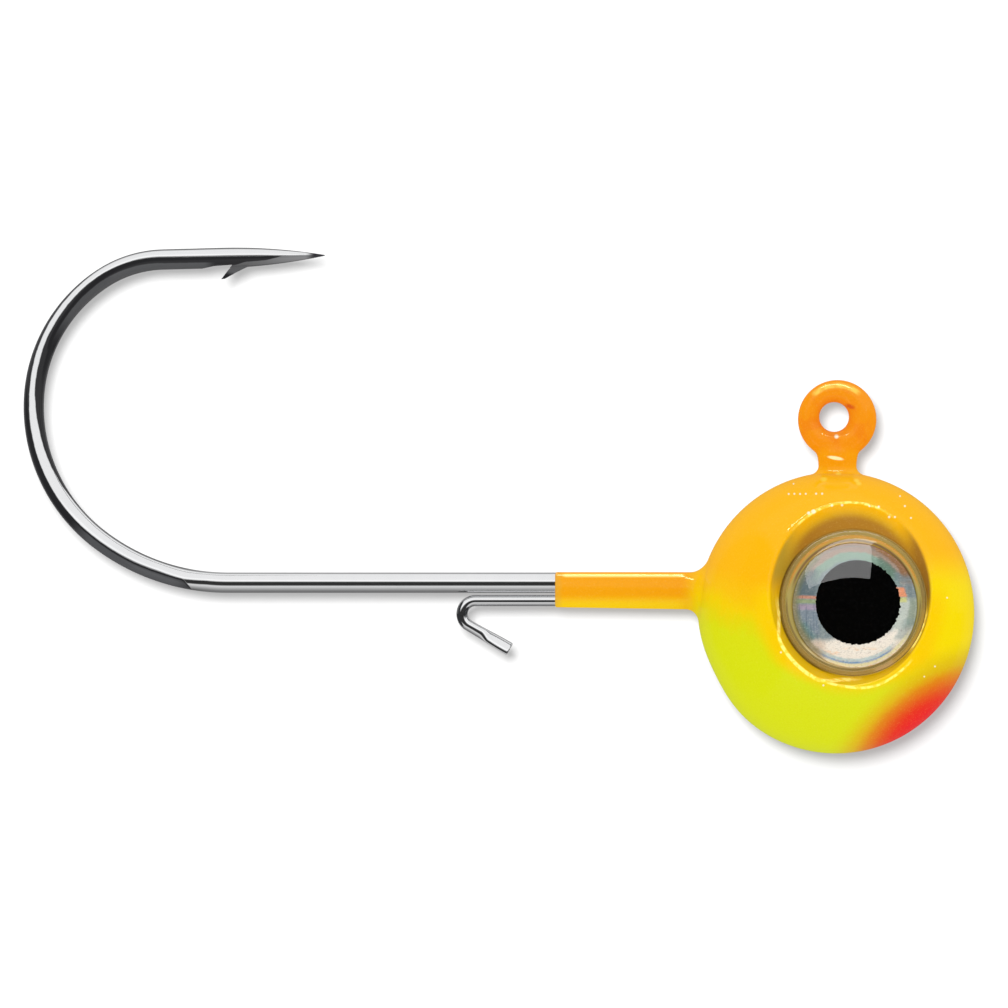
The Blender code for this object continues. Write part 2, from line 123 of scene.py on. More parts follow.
def ring_field(p):
    """Ring whose hole is off centre, so that its thickness varies round it."""
    q = p[..., [0, 2]] - RING_HOLE
    rho = np.maximum(length(q), 1e-6)
    thick = (RING_OUTER_R - RING_HOLE_R) + (q @ (RING_OUTER - RING_HOLE)) / rho
    middle = RING_HOLE_R + thick / 2.0
    return np.sqrt((rho - middle) ** 2 + p[..., 1] ** 2) - thick / 2.0


def ball_field(p):
    """Ball, a little flattened low on the collar side."""
    flat_angle, flat_spread, flat_depth = 207.0, 17.0, 0.13
    x, z = p[..., 0], p[..., 2]
    angle = (np.degrees(np.arctan2(z, x)) + 360.0) % 360.0
    side = np.exp(-((angle - flat_angle) / flat_spread) ** 2)
    return ellipsoid(p, R_BALL) + flat_depth * side * smooth(1.5, 4.5, np.hypot(x, z))


def collar_field(x, y, z):
    """Very slightly tapered, a little fuller towards the ball."""
    t = np.clip((x - COLLAR_END) / 5.2, 0.0, 1.0)
    middle_z = 0.952 - 0.041 * t
    radius = 0.727 + 0.040 * t
    body = trim(-(x - COLLAR_END), np.hypot(y, z - middle_z) - radius, 0.07)
    return np.maximum(body, x + 1.0)


def neck_field(x, y, z):
    """Oval post with a faint ripple up its side."""
    radius = 0.800 + 0.015 * np.sin(z * 5.0)
    side = np.hypot(x - 0.062, y / 0.80) - radius
    return np.maximum(side, np.maximum(z - 7.3, 2.0 - z))


def skin_field(p):
    """Outside of the enamel, without the two sockets."""
    x, y, z = p[..., 0], p[..., 1], p[..., 2]
    skin = join(ball_field(p), collar_field(x, y, z), 0.52)
    skin = join(skin, neck_field(x, y, z), 0.30)
    skin = join(skin, ring_field(p), 0.16)
    # the paint gathers where the ring meets the neck
    bead = ellipsoid(p - np.array([0.06, 0.0, 6.52]), np.array([0.72, 0.66, 0.46]))
    return join(skin, bead, 0.18)


def ball_side_y(x, z):
    """Half width of the ball at x, z."""
    u = (x / R_BALL[0]) ** 2 + (z / R_BALL[2]) ** 2
    return R_BALL[1] * np.sqrt(np.maximum(0.0, 1.0 - u))


def socket_field(p):
    """Negative inside a socket, which widens from its round floor to its oval rim."""
    x, y, z = p[..., 0], np.abs(p[..., 1]), p[..., 2]
    angle = np.arctan2((z - RIM_Z) / RIM_RZ, (x - RIM_X) / RIM_RX)
    rim_y = ball_side_y(RIM_X + RIM_RX * np.cos(angle), RIM_Z + RIM_RZ * np.sin(angle))
    t = np.clip((y - SOCKET_FLOOR_Y) / np.maximum(rim_y - SOCKET_FLOOR_Y, 0.2), 0.0, 1.6)
    middle_x = EYE_X + (RIM_X - EYE_X) * t
    middle_z = EYE_Z + (RIM_Z - EYE_Z) * t
    radius_x = SOCKET_FLOOR_R + (RIM_RX - SOCKET_FLOOR_R) * t
    radius_z = SOCKET_FLOOR_R + (RIM_RZ - SOCKET_FLOOR_R) * t
    across = np.stack([(x - middle_x) / radius_x, (z - middle_z) / radius_z], -1)
    wall = ellipsoid_of_scaled(across, np.stack([radius_x, radius_z], -1))
    return trim(wall, SOCKET_FLOOR_Y - y, 0.10)


def ellipsoid_of_scaled(q, radii):
    """Distance to an ellipse for points already divided by its radii."""
    k0 = length(q)
    k1 = np.maximum(length(q / radii), 1e-6)
    return k0 * (k0 - 1.0) / k1


def coat_field(p):
    return trim(skin_field(p), -socket_field(p), 0.13)


def inner_coat_field(p):
    return coat_field(p) + COAT_THICK


def lead_field(p):
    """The lead fills the coat but stops short of the ring."""
    return trim(coat_field(p) + LEAD_GAP, p[..., 2] - LEAD_TOP, 0.05)


# ------------------------------------------------------------ surface meshing

def gradient(field, p, reach=2e-3):
    slope = np.empty_like(p)
    for i in range(3):
        step = np.zeros(3)
        step[i] = reach
        slope[:, i] = (field(p + step) - field(p - step)) / (2 * reach)
    return slope


def settle(field, p, rounds):
    """Move points on to the zero level of field, in short steps."""
    for _ in range(rounds):
        value = field(p)
        slope = gradient(field, p)
        slope_sq = np.maximum((slope * slope).sum(-1), 0.05)
        move = value[:, None] * slope / slope_sq[:, None]
        size = length(move)
        move *= np.minimum(1.0, 0.08 / np.maximum(size, 1e-9))[:, None]
        p = p - move
    return p


def sample(field, axes):
    values = np.empty([len(a) for a in axes], np.float32)
    yy, zz = np.meshgrid(axes[1], axes[2], indexing="ij")
    for i, x in enumerate(axes[0]):
        values[i] = field(np.stack([np.full_like(yy, x), yy, zz], -1))
    return values


def crossed_cells(inside):
    nx, ny, nz = inside.shape
    count = np.zeros((nx - 1, ny - 1, nz - 1), np.int32)
    for dx, dy, dz in product((0, 1), repeat=3):
        count += inside[dx:nx - 1 + dx, dy:ny - 1 + dy, dz:nz - 1 + dz]
    return (count > 0) & (count < 8)


def cell_points(values, cells):
    """Mean of the places where the surface cuts each cell's edges, in cells."""
    total = np.zeros((len(cells), 3))
    hits = np.zeros(len(cells))
    for first, second in combinations(product((0, 1), repeat=3), 2):
        da, db = np.array(first), np.array(second)
        if np.abs(da - db).sum() != 1:
            continue
        va = values[tuple((cells + da).T)]
        vb = values[tuple((cells + db).T)]
        cross = (va < 0) != (vb < 0)
        t = np.where(cross, va / np.where(cross, va - vb, 1.0), 0.0)
        total += np.where(cross[:, None], da + t[:, None] * (db - da), 0.0)
        hits += cross
    return cells + total / hits[:, None]


def cell_quads(inside, index):
    """One quad round every grid edge that the surface cuts."""
    quads = []
    for axis in range(3):
        near = [slice(1, n - 1) for n in inside.shape]
        far = list(near)
        near[axis] = slice(0, inside.shape[axis] - 1)
        far[axis] = slice(1, inside.shape[axis])
        a, b = inside[tuple(near)], inside[tuple(far)]
        change = np.argwhere(a != b)
        leaving = a[tuple(change.T)]
        base = change + 1
        base[:, axis] -= 1
        step_1, step_2 = (np.eye(3, dtype=int)[i] for i in range(3) if i != axis)
        around = [base, base - step_1, base - step_1 - step_2, base - step_2]
        ids = np.stack([index[tuple(cell.T)] for cell in around], -1)
        forward = leaving if axis != 1 else ~leaving
        quads.append(np.where(forward[:, None], ids, ids[:, ::-1]))
    return np.concatenate(quads)


def spread(field, verts, quads, rounds):
    """Space the vertices evenly over the surface, putting them back on it each time."""
    ends = np.concatenate([quads[:, [0, 1]], quads[:, [1, 2]], quads[:, [2, 3]], quads[:, [3, 0]]])
    ends = np.concatenate([ends, ends[:, ::-1]])
    degree = np.bincount(ends[:, 0], minlength=len(verts)).astype(float)
    for _ in range(rounds):
        mean = np.stack([np.bincount(ends[:, 0], weights=verts[ends[:, 1], i],
                                     minlength=len(verts)) for i in range(3)], -1)
        mean /= degree[:, None]
        normal = gradient(field, verts)
        normal /= np.maximum(length(normal), 1e-6)[:, None]
        move = mean - verts
        move -= (move * normal).sum(-1)[:, None] * normal
        verts = settle(field, verts + 0.6 * move, 2)
    return verts


def mesh_field(field, step, relax):
    """Vertices and quads on the zero level of field."""
    axes = [np.arange(a, b + step, step) for a, b in zip(FIELD_LO, FIELD_HI)]
    values = sample(field, axes)
    inside = values < 0.0
    active = crossed_cells(inside)
    index = np.full(active.shape, -1, np.int64)
    index[active] = np.arange(active.sum())
    verts = np.array(FIELD_LO) + cell_points(values, np.argwhere(active)) * step
    quads = cell_quads(inside, index)
    verts = settle(field, verts, 3)
    return spread(field, verts, quads, relax), quads


def turned_outward(verts, quads):
    """Quads of a closed surface, turned so that they face out."""
    a, b, c, d = (verts[quads[:, i]] for i in range(4))
    volume = (a * np.cross(b, c)).sum() + (a * np.cross(c, d)).sum()
    return quads if volume > 0 else quads[:, ::-1]


# ------------------------------------------------------------- objects in frame

def place(name, data):
    obj = bpy.data.objects.new(name, data)
    bpy.context.scene.collection.objects.link(obj)
    return obj


def hide_from(obj, *rays):
    for ray in rays:
        setattr(obj, f"visible_{ray}", False)


def face_outward(mesh):
    bm = bmesh.new()
    bm.from_mesh(mesh)
    bmesh.ops.recalc_face_normals(bm, faces=bm.faces)
    bm.to_mesh(mesh)
    bm.free()


def add_piece(name, verts, faces, mat, replaces, sharp_angle=None, turn=True):
    """A finished piece, from millimetres about the ball's centre."""
    mesh = bpy.data.meshes.new(name)
    verts = (np.asarray(verts, float) + CENTRE) * MM
    mesh.from_pydata(verts.tolist(), [], [list(f) for f in faces])
    mesh.validate()
    if turn:
        face_outward(mesh)
    mesh.shade_smooth()
    if sharp_angle:
        mesh.set_sharp_from_angle(angle=math.radians(sharp_angle))
    obj = place(name, mesh)
    mesh.materials.append(mat)
    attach(obj, "root")
    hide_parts(replaces)
    return obj


# --------------------------------------------------------------- node building

class Signal:
    """A node output; arithmetic on it adds nodes to its graph."""

    def __init__(self, graph, socket):
        self.graph = graph
        self.socket = socket

    def __add__(self, other):
        return self.graph.math("ADD", self, other)

    def __sub__(self, other):
        return self.graph.math("SUBTRACT", self, other)

    def __rsub__(self, other):
        return self.graph.math("SUBTRACT", other, self)

    def __mul__(self, other):
        return self.graph.math("MULTIPLY", self, other)

    def __truediv__(self, other):
        return self.graph.math("DIVIDE", self, other)

    def abs(self):
        return self.graph.math("ABSOLUTE", self)

    def min(self, other):
        return self.graph.math("MINIMUM", self, other)

    def max(self, other):
        return self.graph.math("MAXIMUM", self, other)

    def scaled(self, factor, plus, clamp=False):
        return self.graph.math("MULTIPLY_ADD", self, factor, plus, clamp)

    def angle(self, x):
        """Angle in degrees, with self as the height above x."""
        return self.graph.math("DEGREES", self.graph.math("ARCTAN2", self, x))

    def other(self, output):
        """Another output of the same node."""
        return Signal(self.graph, self.socket.node.outputs[output])

    def parts(self):
        """The x, y and z of a vector."""
        first = self.graph.node("SeparateXYZ", {0: self})
        return first, first.other(1), first.other(2)

    def fade(self, start, to):
        """Smooth 0 to 1 as the signal goes from start to the second value."""
        falling = to < start
        ends = (1.0, 0.0) if falling else (0.0, 1.0)
        inputs = {0: self, 1: min(start, to), 2: max(start, to), 3: ends[0], 4: ends[1]}
        return self.graph.node("MapRange", inputs, interpolation_type="SMOOTHSTEP")

    def band(self, centre, half, soft):
        """1 within half of centre, falling to 0 over soft."""
        return (self - centre).abs().fade(half + soft, to=half)

    def blend(self, off, on):
        """Colour off where the signal is 0, on where it is 1."""
        return self.graph.node("Mix", {0: self, 6: off, 7: on}, out=2, data_type="RGBA")

    def ramp(self, stops):
        """Colour ramp with stops of (position, colour)."""
        colours = self.graph.node("ValToRGB", {0: self})
        elements = colours.socket.node.color_ramp.elements
        while len(elements) < len(stops):
            elements.new(1.0)
        for element, (position, colour) in zip(elements, stops):
            element.position = position
            element.color = (*colour, 1.0)
        return colours

    def stretched(self, x, y, z):
        return self.graph.vector_math("MULTIPLY", self, (x, y, z))

    def noise(self, scale, detail=2.0, rough=0.5):
        inputs = {"Vector": self, "Scale": scale, "Detail": detail, "Roughness": rough}
        return self.graph.node("TexNoise", inputs)


class Graph:
    """A node tree, emptied and ready to be filled."""

    def __init__(self, tree):
        self.tree = tree
        tree.nodes.clear()

    def put(self, socket, value):
        if isinstance(value, Signal):
            self.tree.links.new(value.socket, socket)
        elif isinstance(value, tuple) and socket.type == "RGBA":
            socket.default_value = (*value, 1.0)
        else:
            socket.default_value = value

    def node(self, kind, inputs, out=0, **props):
        node = self.tree.nodes.new("ShaderNode" + kind)
        for key, value in props.items():
            setattr(node, key, value)
        for key, value in inputs.items():
            self.put(node.inputs[key], value)
        return Signal(self, node.outputs[out])

    def math(self, operation, a, b=0.0, c=None, clamp=False):
        inputs = {0: a, 1: b} if c is None else {0: a, 1: b, 2: c}
        return self.node("Math", inputs, operation=operation, use_clamp=clamp)

    def vector_math(self, operation, a, b=(0.0, 0.0, 0.0), **extra):
        out = "Value" if operation == "DISTANCE" else 0
        return self.node("VectorMath", {0: a, 1: b, **extra}, out, operation=operation)

    def vector(self, **parts):
        return self.node("CombineXYZ", {axis.upper(): part for axis, part in parts.items()})

    def attribute(self, name):
        return self.node("Attribute", {}, out="Fac", attribute_name=name)

    def bump(self, height, strength, distance):
        """Bent normal; distance in millimetres."""
        inputs = {"Strength": strength, "Distance": distance * MM, "Height": height}
        return self.node("Bump", inputs)

    def leaning(self, normal, lean):
        """A normal tipped by the vector lean."""
        return self.vector_math("NORMALIZE", self.vector_math("ADD", normal, lean))

    def position(self):
        """Position about the ball's centre in millimetres, and the direction to the viewer."""
        world_place = self.node("NewGeometry", {}, out="Position")
        scaled = self.vector_math("SCALE", world_place, Scale=1000.0)
        local = self.vector_math("SUBTRACT", scaled, tuple(float(v) for v in CENTRE))
        return local, world_place.other("Incoming")

    def finish(self, shader, kind="Material"):
        output = self.tree.nodes.new("ShaderNodeOutput" + kind)
        self.put(output.inputs["Surface"], shader)

    def principled(self, inputs):
        shader = self.node("BsdfPrincipled", inputs)
        self.finish(shader)
        return shader.socket.node


class Layers:
    """A colour built up in layers, each laid through a mask."""

    def __init__(self, colour):
        self.colour = colour

    def lay(self, mask, colour, amount=None):
        if amount is not None:
            mask = mask * amount
        self.colour = mask.blend(self.colour, colour)


def hypot(a, b):
    squares = a * a + b * b
    return squares.graph.math("SQRT", squares)


def about_eye(x, z):
    """Offsets from the eye's centre, and the distance from it."""
    from_x, from_z = x - EYE_X, z - EYE_Z
    return from_x, from_z, hypot(from_x, from_z)


def rgb(red, green, blue):
    """Linear colour from 0-255 display values."""
    def linear(v):
        v = v / 255.0
        return v / 12.92 if v <= 0.04045 else ((v + 0.055) / 1.055) ** 2.4
    return linear(red), linear(green), linear(blue)


def new_material(name):
    mat = bpy.data.materials.new(name)
    mat.use_nodes = True
    return mat, Graph(mat.node_tree)


# ----------------------------------------------------------------------- paint

# position from below the orange edge to above it, colour
SPRAY = [
    (0.00, rgb(220, 228, 18)), (0.26, rgb(222, 226, 18)), (0.40, rgb(233, 217, 12)),
    (0.52, rgb(247, 210, 5)), (0.66, rgb(251, 197, 8)), (0.90, rgb(254, 187, 10)),
    (1.00, rgb(254, 187, 10))]

# distance from the throat's middle, halved, and colour
THROAT = [
    (0.20, rgb(241, 24, 30)), (0.29, rgb(237, 48, 26)), (0.38, rgb(232, 86, 24)),
    (0.50, rgb(229, 138, 22)), (0.60, rgb(227, 186, 20)), (0.78, rgb(224, 208, 18))]

# painted glints, small white highlights: x, z, radius
PAINTED_GLINTS = [(-1.95 + 0.235 * i, 4.90 + 0.006 * (i % 2), 0.055) for i in range(4)]
PAINTED_GLINTS += [(-0.82 + 0.25 * i, 4.91, 0.060) for i in range(2)]
PAINTED_GLINTS += [
    (2.19, 3.95, 0.07), (2.43, 3.95, 0.06), (3.09, 3.91, 0.055), (2.84, 4.40, 0.06),
    (2.64, 4.81, 0.05), (-1.75, 5.32, 0.045), (4.58, 0.62, 0.05),
    (-2.27, -1.63, 0.055), (-0.52, -2.99, 0.055), (4.08, -2.21, 0.05), (3.64, -2.63, 0.045),
    (-0.93, 4.17, 0.12), (-1.13, 4.11, 0.09), (-0.17, 4.42, 0.07), (0.25, 4.44, 0.07),
    (1.38, 4.40, 0.06), (1.76, 4.37, 0.07), (0.02, 7.267, 0.12)]

# softer painted yellow highlights round the foot of the neck, on both sides: x, depth, z, radius
PAINTED_NECK_GLINTS = [(-0.50, 1.66, 5.47, 0.21), (0.84, 1.68, 5.42, 0.17),
              (0.93, 1.96, 5.30, 0.17), (0.10, 0.9, 5.71, 0.17)]


def sprayed_base(x, z, wobble, speckle):
    """Orange above chartreuse; the edge falls from the collar side to the front."""
    edge = x.scaled(-0.36, plus=-1.45).min(0.75)
    above = (z - edge) + (wobble + speckle)
    return above.scaled(0.25, plus=0.5, clamp=True).ramp(SPRAY)


def lay_neck(skin, place, x, z, wobble):
    """Deeper orange up the neck and round the ring."""
    up = (z + wobble * 0.3) - (x - 0.05).abs() * 0.35
    skin.lay(up.fade(5.35, to=6.0), rgb(251, 168, 12))
    skin.lay(up.fade(6.2, to=6.9), rgb(248, 151, 18))
    patches = place.noise(1.5).fade(0.48, to=0.66) * z.fade(6.4, to=7.2)
    skin.lay(patches, rgb(243, 128, 22), amount=0.45)
    # a dark run in the paint beside the hole
    run = hypot((x - 0.58) / 0.20, (x.scaled(0.30, plus=z) - 8.68) / 0.10)
    skin.lay(run.fade(1.35, to=0.4), rgb(214, 84, 30), amount=0.8)


def lay_throat(skin, x, z, speckle):
    """A long red patch, tilted along the lower front."""
    centre_x, centre_z = 3.6, -4.9
    tilt_cos, tilt_sin = 0.766, 0.643
    half_length, half_width = 3.2, 1.5
    from_x, from_z = x - centre_x, z - centre_z
    along = from_x * (tilt_cos / half_length) + from_z * (tilt_sin / half_length)
    across = from_x * (-tilt_sin / half_width) + from_z * (tilt_cos / half_width)
    reach = hypot(along, across) + speckle * 0.25
    red = reach.graph.math("MULTIPLY", reach, 0.5, clamp=True).ramp(THROAT)
    skin.lay(reach.fade(1.75, to=1.15), red)


def lay_collar(skin, x, z, speckle):
    """Orange collar, yellow beneath, duller at its cut end."""
    skin.lay(x.fade(-5.5, to=-6.5), rgb(247, 163, 14), amount=0.95)
    skin.lay(x.fade(-5.6, to=-6.6) * z.fade(0.80, to=0.32), rgb(250, 204, 8))
    end = (x + speckle * 0.4).fade(-11.20, to=-11.55)
    skin.lay(end, rgb(226, 172, 58), amount=0.55)


def lay_socket_shade(skin, rim_x, rim_z, rim_r):
    """Shade gathered in the upper part of the socket."""
    sides = rim_x.abs().fade(0.55, to=0.85)
    fore = rim_x.fade(-0.2, to=0.2)
    wall = fore.blend(rim_r.fade(1.005, to=0.955), rim_r.fade(1.025, to=0.975))
    inner = sides.blend(rim_r.fade(0.99, to=0.80), wall)
    upper = rim_x.scaled(0.12, plus=rim_z).fade(-0.16, to=0.16)
    shadow = rim_r.fade(0.97, to=0.80).ramp([
        (0.0, rgb(220, 174, 34)), (0.5, rgb(203, 157, 42)), (1.0, rgb(177, 123, 42))])
    shadow = sides.blend(shadow, fore.blend(rgb(194, 160, 50), rgb(168, 118, 44)))
    skin.lay(inner * upper, shadow, amount=0.95)


def glue_highlight(rim_r, angle, rear_angle, broken, incoming):
    """Mask of painted highlights on the glue round the lower lens, shown when it is seen from the
    side.
    """
    rear_r = rear_angle.fade(-12.0, to=-34.0).scaled(0.108, plus=0.912)
    rear_r = rear_r - rear_angle.fade(-64.0, to=-88.0) * 0.085
    rear = ((rim_r - rear_r).band(0.0, half=0.010, soft=0.018)
            * rear_angle.band(-50.0, half=36.0, soft=16.0))
    low_r = angle.fade(-100.0, to=-70.0).scaled(0.045, plus=1.008)
    low = ((rim_r - low_r).band(0.0, half=0.006, soft=0.014)
           * angle.band(-77.0, half=26.0, soft=10.0))
    front = rim_r.band(0.968, half=0.008, soft=0.016) * angle.band(-25.0, half=10.0, soft=8.0)
    run = rear.max((low * 0.8).max(front)) * broken.scaled(0.5, plus=0.5)
    return run * incoming.parts()[1].abs().fade(0.78, to=0.94)


def lay_socket_highlights(skin, x, z, rim_x, rim_z, rim_r, broken, incoming):
    """Painted highlights on the rim above and on the glue round the lens below; returns how much
    they glow.
    """
    angle = rim_z.angle(rim_x)
    rear_angle = rim_z.angle(rim_x * -1.0)   # 0 on the collar side
    painted_highlight_colour = broken.blend(rgb(255, 212, 44), rgb(255, 238, 124))
    # painted highlight along the top of the rim
    rim_top = (rim_r.band(0.995, half=0.005, soft=0.014)
               * angle.band(96.0, half=28.0, soft=14.0))
    rim_top = rim_top * broken.scaled(0.6, plus=0.4)
    skin.lay(rim_top, painted_highlight_colour, amount=0.9)
    # painted highlights on the glue round the lower lens
    glue = glue_highlight(rim_r, angle, rear_angle, broken, incoming)
    # glue film seen through the lens skirt, painted reflections and a painted highlight in that
    # skirt, and painted shade in the gap beside it
    eye_r = about_eye(x, z)[2]
    skin.lay(eye_r.fade(3.05, to=2.99), rgb(196, 178, 112), amount=0.85)
    # painted yellow reflection in the lower lens skirt, then a painted white highlight
    painted_skirt_reflection = eye_r.band(2.93, half=0.05, soft=0.06) * angle.band(-38.0, half=16.0, soft=16.0)
    skin.lay(painted_skirt_reflection, rgb(240, 208, 90), amount=0.8)
    painted_skirt_reflection = eye_r.band(2.90, half=0.06, soft=0.08) * angle.band(-62.0, half=5.0, soft=6.0)
    skin.lay(painted_skirt_reflection, rgb(236, 214, 186), amount=0.8)
    # painted shade in the gap between the lens and the socket wall
    painted_gap_shade = eye_r.fade(3.11, to=3.06) * eye_r.fade(2.98, to=3.02)
    painted_gap_shade = painted_gap_shade * rear_angle.band(-18.0, half=42.0, soft=24.0).scaled(0.6, plus=0.25)
    skin.lay(painted_gap_shade, rgb(92, 64, 24))
    skin.lay(glue, painted_highlight_colour, amount=0.9)
    return glue.max(rim_top * 0.8)


def lay_painted_highlights(skin, x, z, broken, painted_glow):
    """Painted highlights on the ring's crown, the neck and the collar, which also add to the glow.
    """
    from_x, from_z = x - float(RING_OUTER[0]), z - float(RING_OUTER[1])
    crown = (hypot(from_x, from_z).band(1.40, half=0.05, soft=0.10)
             * from_z.angle(from_x).band(92.0, half=34.0, soft=14.0))
    skin.lay(crown * broken.scaled(0.35, plus=0.40), rgb(255, 224, 96))
    neck = hypot((x + 0.02) / 0.36, (x.scaled(0.16, plus=z) - 6.375) / 0.085)
    skin.lay(neck.fade(1.1, to=0.6), rgb(255, 246, 200), amount=0.9)
    collar = z.band(1.535, half=0.035, soft=0.06) * x.band(-8.75, half=2.35, soft=0.25)
    skin.lay(collar, rgb(255, 232, 130), amount=0.65)
    return painted_glow.max(collar * 0.35).max(neck.fade(1.1, to=0.6) * 0.5)


def lay_painted_glints(skin, graph, x, y, z):
    """Painted glints: small white highlights, and softer painted yellow highlights round the foot
    of the neck.
    """
    for spot_x, spot_z, radius in PAINTED_GLINTS:
        away = graph.vector_math("DISTANCE", graph.vector(x=x, z=z), (spot_x, 0.0, spot_z))
        skin.lay(away.fade(radius, to=radius * 0.35), rgb(255, 250, 226), amount=0.85)
    squash_y = 0.4
    depth = y.abs() * squash_y
    for spot_x, spot_y, spot_z, radius in PAINTED_NECK_GLINTS:
        away = graph.vector_math("DISTANCE", graph.vector(x=x, y=depth, z=z),
                                 (spot_x, squash_y * spot_y, spot_z))
        skin.lay(away.fade(radius, to=radius * 0.3), rgb(255, 222, 80), amount=0.75)


def paint_normal(graph, place, x, y):
    """Orange peel; the thin coat on the collar is a little flattened on each side."""
    height = place.noise(1.6, rough=0.45) * 1.0 + place.noise(9.0) * 0.10
    peel = graph.bump(height, strength=0.35, distance=0.05)
    flat = x.fade(-5.9, to=-6.5) * y.fade(-0.1, to=0.1).scaled(1.1, plus=-0.55)
    return graph.leaning(peel, graph.vector(y=flat))


def paint_material():
    """Airbrushed enamel: orange above, chartreuse below, a red throat."""
    mat, graph = new_material("enamel_orange_chartreuse_red")
    place, incoming = graph.position()
    x, y, z = place.parts()
    speckle = (place.noise(3.2, detail=3.0, rough=0.6) - 0.5) * 0.45
    wobble = (place.noise(0.55) - 0.5) * 0.9
    skin = Layers(sprayed_base(x, z, wobble, speckle))
    # yellow front, level with the eye
    front = x.fade(3.0, to=4.2) * z.band(-0.15, half=1.0, soft=1.9)
    skin.lay(front, rgb(250, 226, 0), amount=0.9)
    # golden ring of paint that pooled round the socket; the rim is at radius 1
    rim_x, rim_z = (x - RIM_X) / RIM_RX, (z - RIM_Z) / RIM_RZ
    rim_r = hypot(rim_x, rim_z)
    below = rim_z.fade(-0.70, to=-1.05) * 0.13
    halo = ((rim_r + below) + speckle * 0.12).fade(1.30, to=1.05)
    skin.lay(halo * z.fade(1.6, to=0.2), rgb(253, 208, 0))
    lay_neck(skin, place, x, z, wobble)
    lay_throat(skin, x, z, speckle)
    lay_collar(skin, x, z, speckle)
    lay_socket_shade(skin, rim_x, rim_z, rim_r)
    broken = place.noise(3.4, rough=0.6).fade(0.40, to=0.58)
    painted_glow = lay_socket_highlights(skin, x, z, rim_x, rim_z, rim_r, broken, incoming)
    painted_glow = lay_painted_highlights(skin, x, z, broken, painted_glow)
    lay_painted_glints(skin, graph, x, y, z)
    # fine pigment speckle
    fleck = place.noise(14.0)
    skin.lay(fleck.fade(0.52, to=0.75), rgb(255, 236, 120), amount=0.10)
    skin.lay(fleck.fade(0.46, to=0.28), rgb(190, 120, 20), amount=0.08)
    graph.principled({
        "Base Color": skin.colour,
        # the painted highlights also glow a little
        "Emission Color": (1.0, 0.78, 0.20),
        "Emission Strength": painted_glow * 0.42,
        "Roughness": 0.5,
        "Specular IOR Level": 0.0,
        "Coat Weight": 0.35,
        "Coat Roughness": place.noise(2.0).scaled(0.08, plus=0.05),
        "Coat Normal": paint_normal(graph, place, x, y)})
    mat.cycles.emission_sampling = "NONE"
    return mat


# ----------------------------------------------------------------------- steel

# How the reflections run round the bend: millimetres along it, dark from the inner side
# up to, dark from the outer side down to (both in wire radii), angle the bend faces in
# degrees, middle of the white strip
REFLECTIONS = [
    (3.3, -1.3, 1.3, -97, 0.0), (3.9, -1.3, 0.08, -101, -0.30),
    (5.0, -1.3, 0.03, -109, -0.41), (6.0, -1.3, 0.09, -116, -0.37),
    (8.0, -1.1, 0.12, -129, -0.36), (9.0, -0.92, 0.20, -138, -0.35),
    (10.0, -0.80, 0.26, -146, -0.26), (11.0, -0.65, 0.29, -154, -0.17),
    (12.0, -0.51, 0.34, -163, -0.09), (13.0, -0.38, 0.39, -171, 0.0),
    (14.0, -0.19, 0.44, -179, 0.12), (15.0, 0.03, 0.50, -188, 0.26),
    (16.0, 0.12, 0.61, -197, 0.36), (17.0, 0.25, 0.71, -206, 0.48),
    (18.0, 0.30, 0.76, -215, 0.53), (19.0, 0.38, 0.82, -224, 0.60),
    (20.0, 0.43, 0.90, -234, 0.66), (21.0, 0.39, 1.10, -245, 0.66),
    (22.0, 0.33, 1.30, -257, 0.65), (23.0, 0.24, 1.30, -268, 0.60),
    (25.0, 0.18, 1.30, -268, 0.57), (27.0, 0.13, 1.30, -268, 0.55),
    (29.5, 0.04, 1.30, -268, 0.45)]
BEND_SPAN = 30.0                         # millimetres along that the ramps cover


def plating(place):
    """Cloudy bright black nickel."""
    cloud = place.noise(1.1, detail=3.0, rough=0.55)
    return cloud.blend((0.86, 0.87, 0.88), (0.93, 0.93, 0.94))


def finish_steel(graph, place, colour, lean):
    """Metal with faint drawing lines, its normal tipped by lean."""
    lines = place.stretched(0.25, 6.0, 6.0).noise(2.0, detail=3.0, rough=0.6)
    dents = graph.bump(place.noise(2.4, detail=3.0), strength=0.10, distance=0.01)
    return graph.principled({
        "Base Color": colour,
        "Metallic": 1.0,
        "Roughness": lines.scaled(0.06, plus=0.035),
        "Normal": graph.leaning(dents, lean)})


def strip_limits(share):
    """Where the inner dark strip ends and the outer one starts, in wire radii."""
    def coded(inner, outer):
        return 0.5 + 0.25 * inner, 0.5 + 0.25 * outer, 0.0
    stops = [(0.0, coded(-1.3, 1.3))]
    stops += [(at / BEND_SPAN, coded(inner, outer)) for at, inner, outer, _, _ in REFLECTIONS]
    inner = share.graph.node("SeparateColor", {0: share.ramp(stops)})
    outer = inner.other(1)
    return inner.scaled(4.0, plus=-2.0), outer.scaled(4.0, plus=-2.0)


def bend_lean(graph, share):
    """The bend is pressed a little off round, which swings its reflections."""
    level = (0.5, 0.5, 0.5)
    stops = [(0.0, level), (3.0 / BEND_SPAN, level)]
    for at, _, _, facing, middle in REFLECTIONS[1:]:
        angle = math.radians(facing)
        rest = math.sqrt(1.0 - middle * middle)
        stops.append((at / BEND_SPAN, (
            0.5 - 0.5 * math.cos(angle) * middle,
            0.5,
            0.5 + 0.5 * (0.50 * rest - math.sin(angle) * middle))))
    turn = graph.vector_math("SUBTRACT", share.ramp(stops), level)
    return graph.vector_math("SCALE", turn, Scale=2.0)


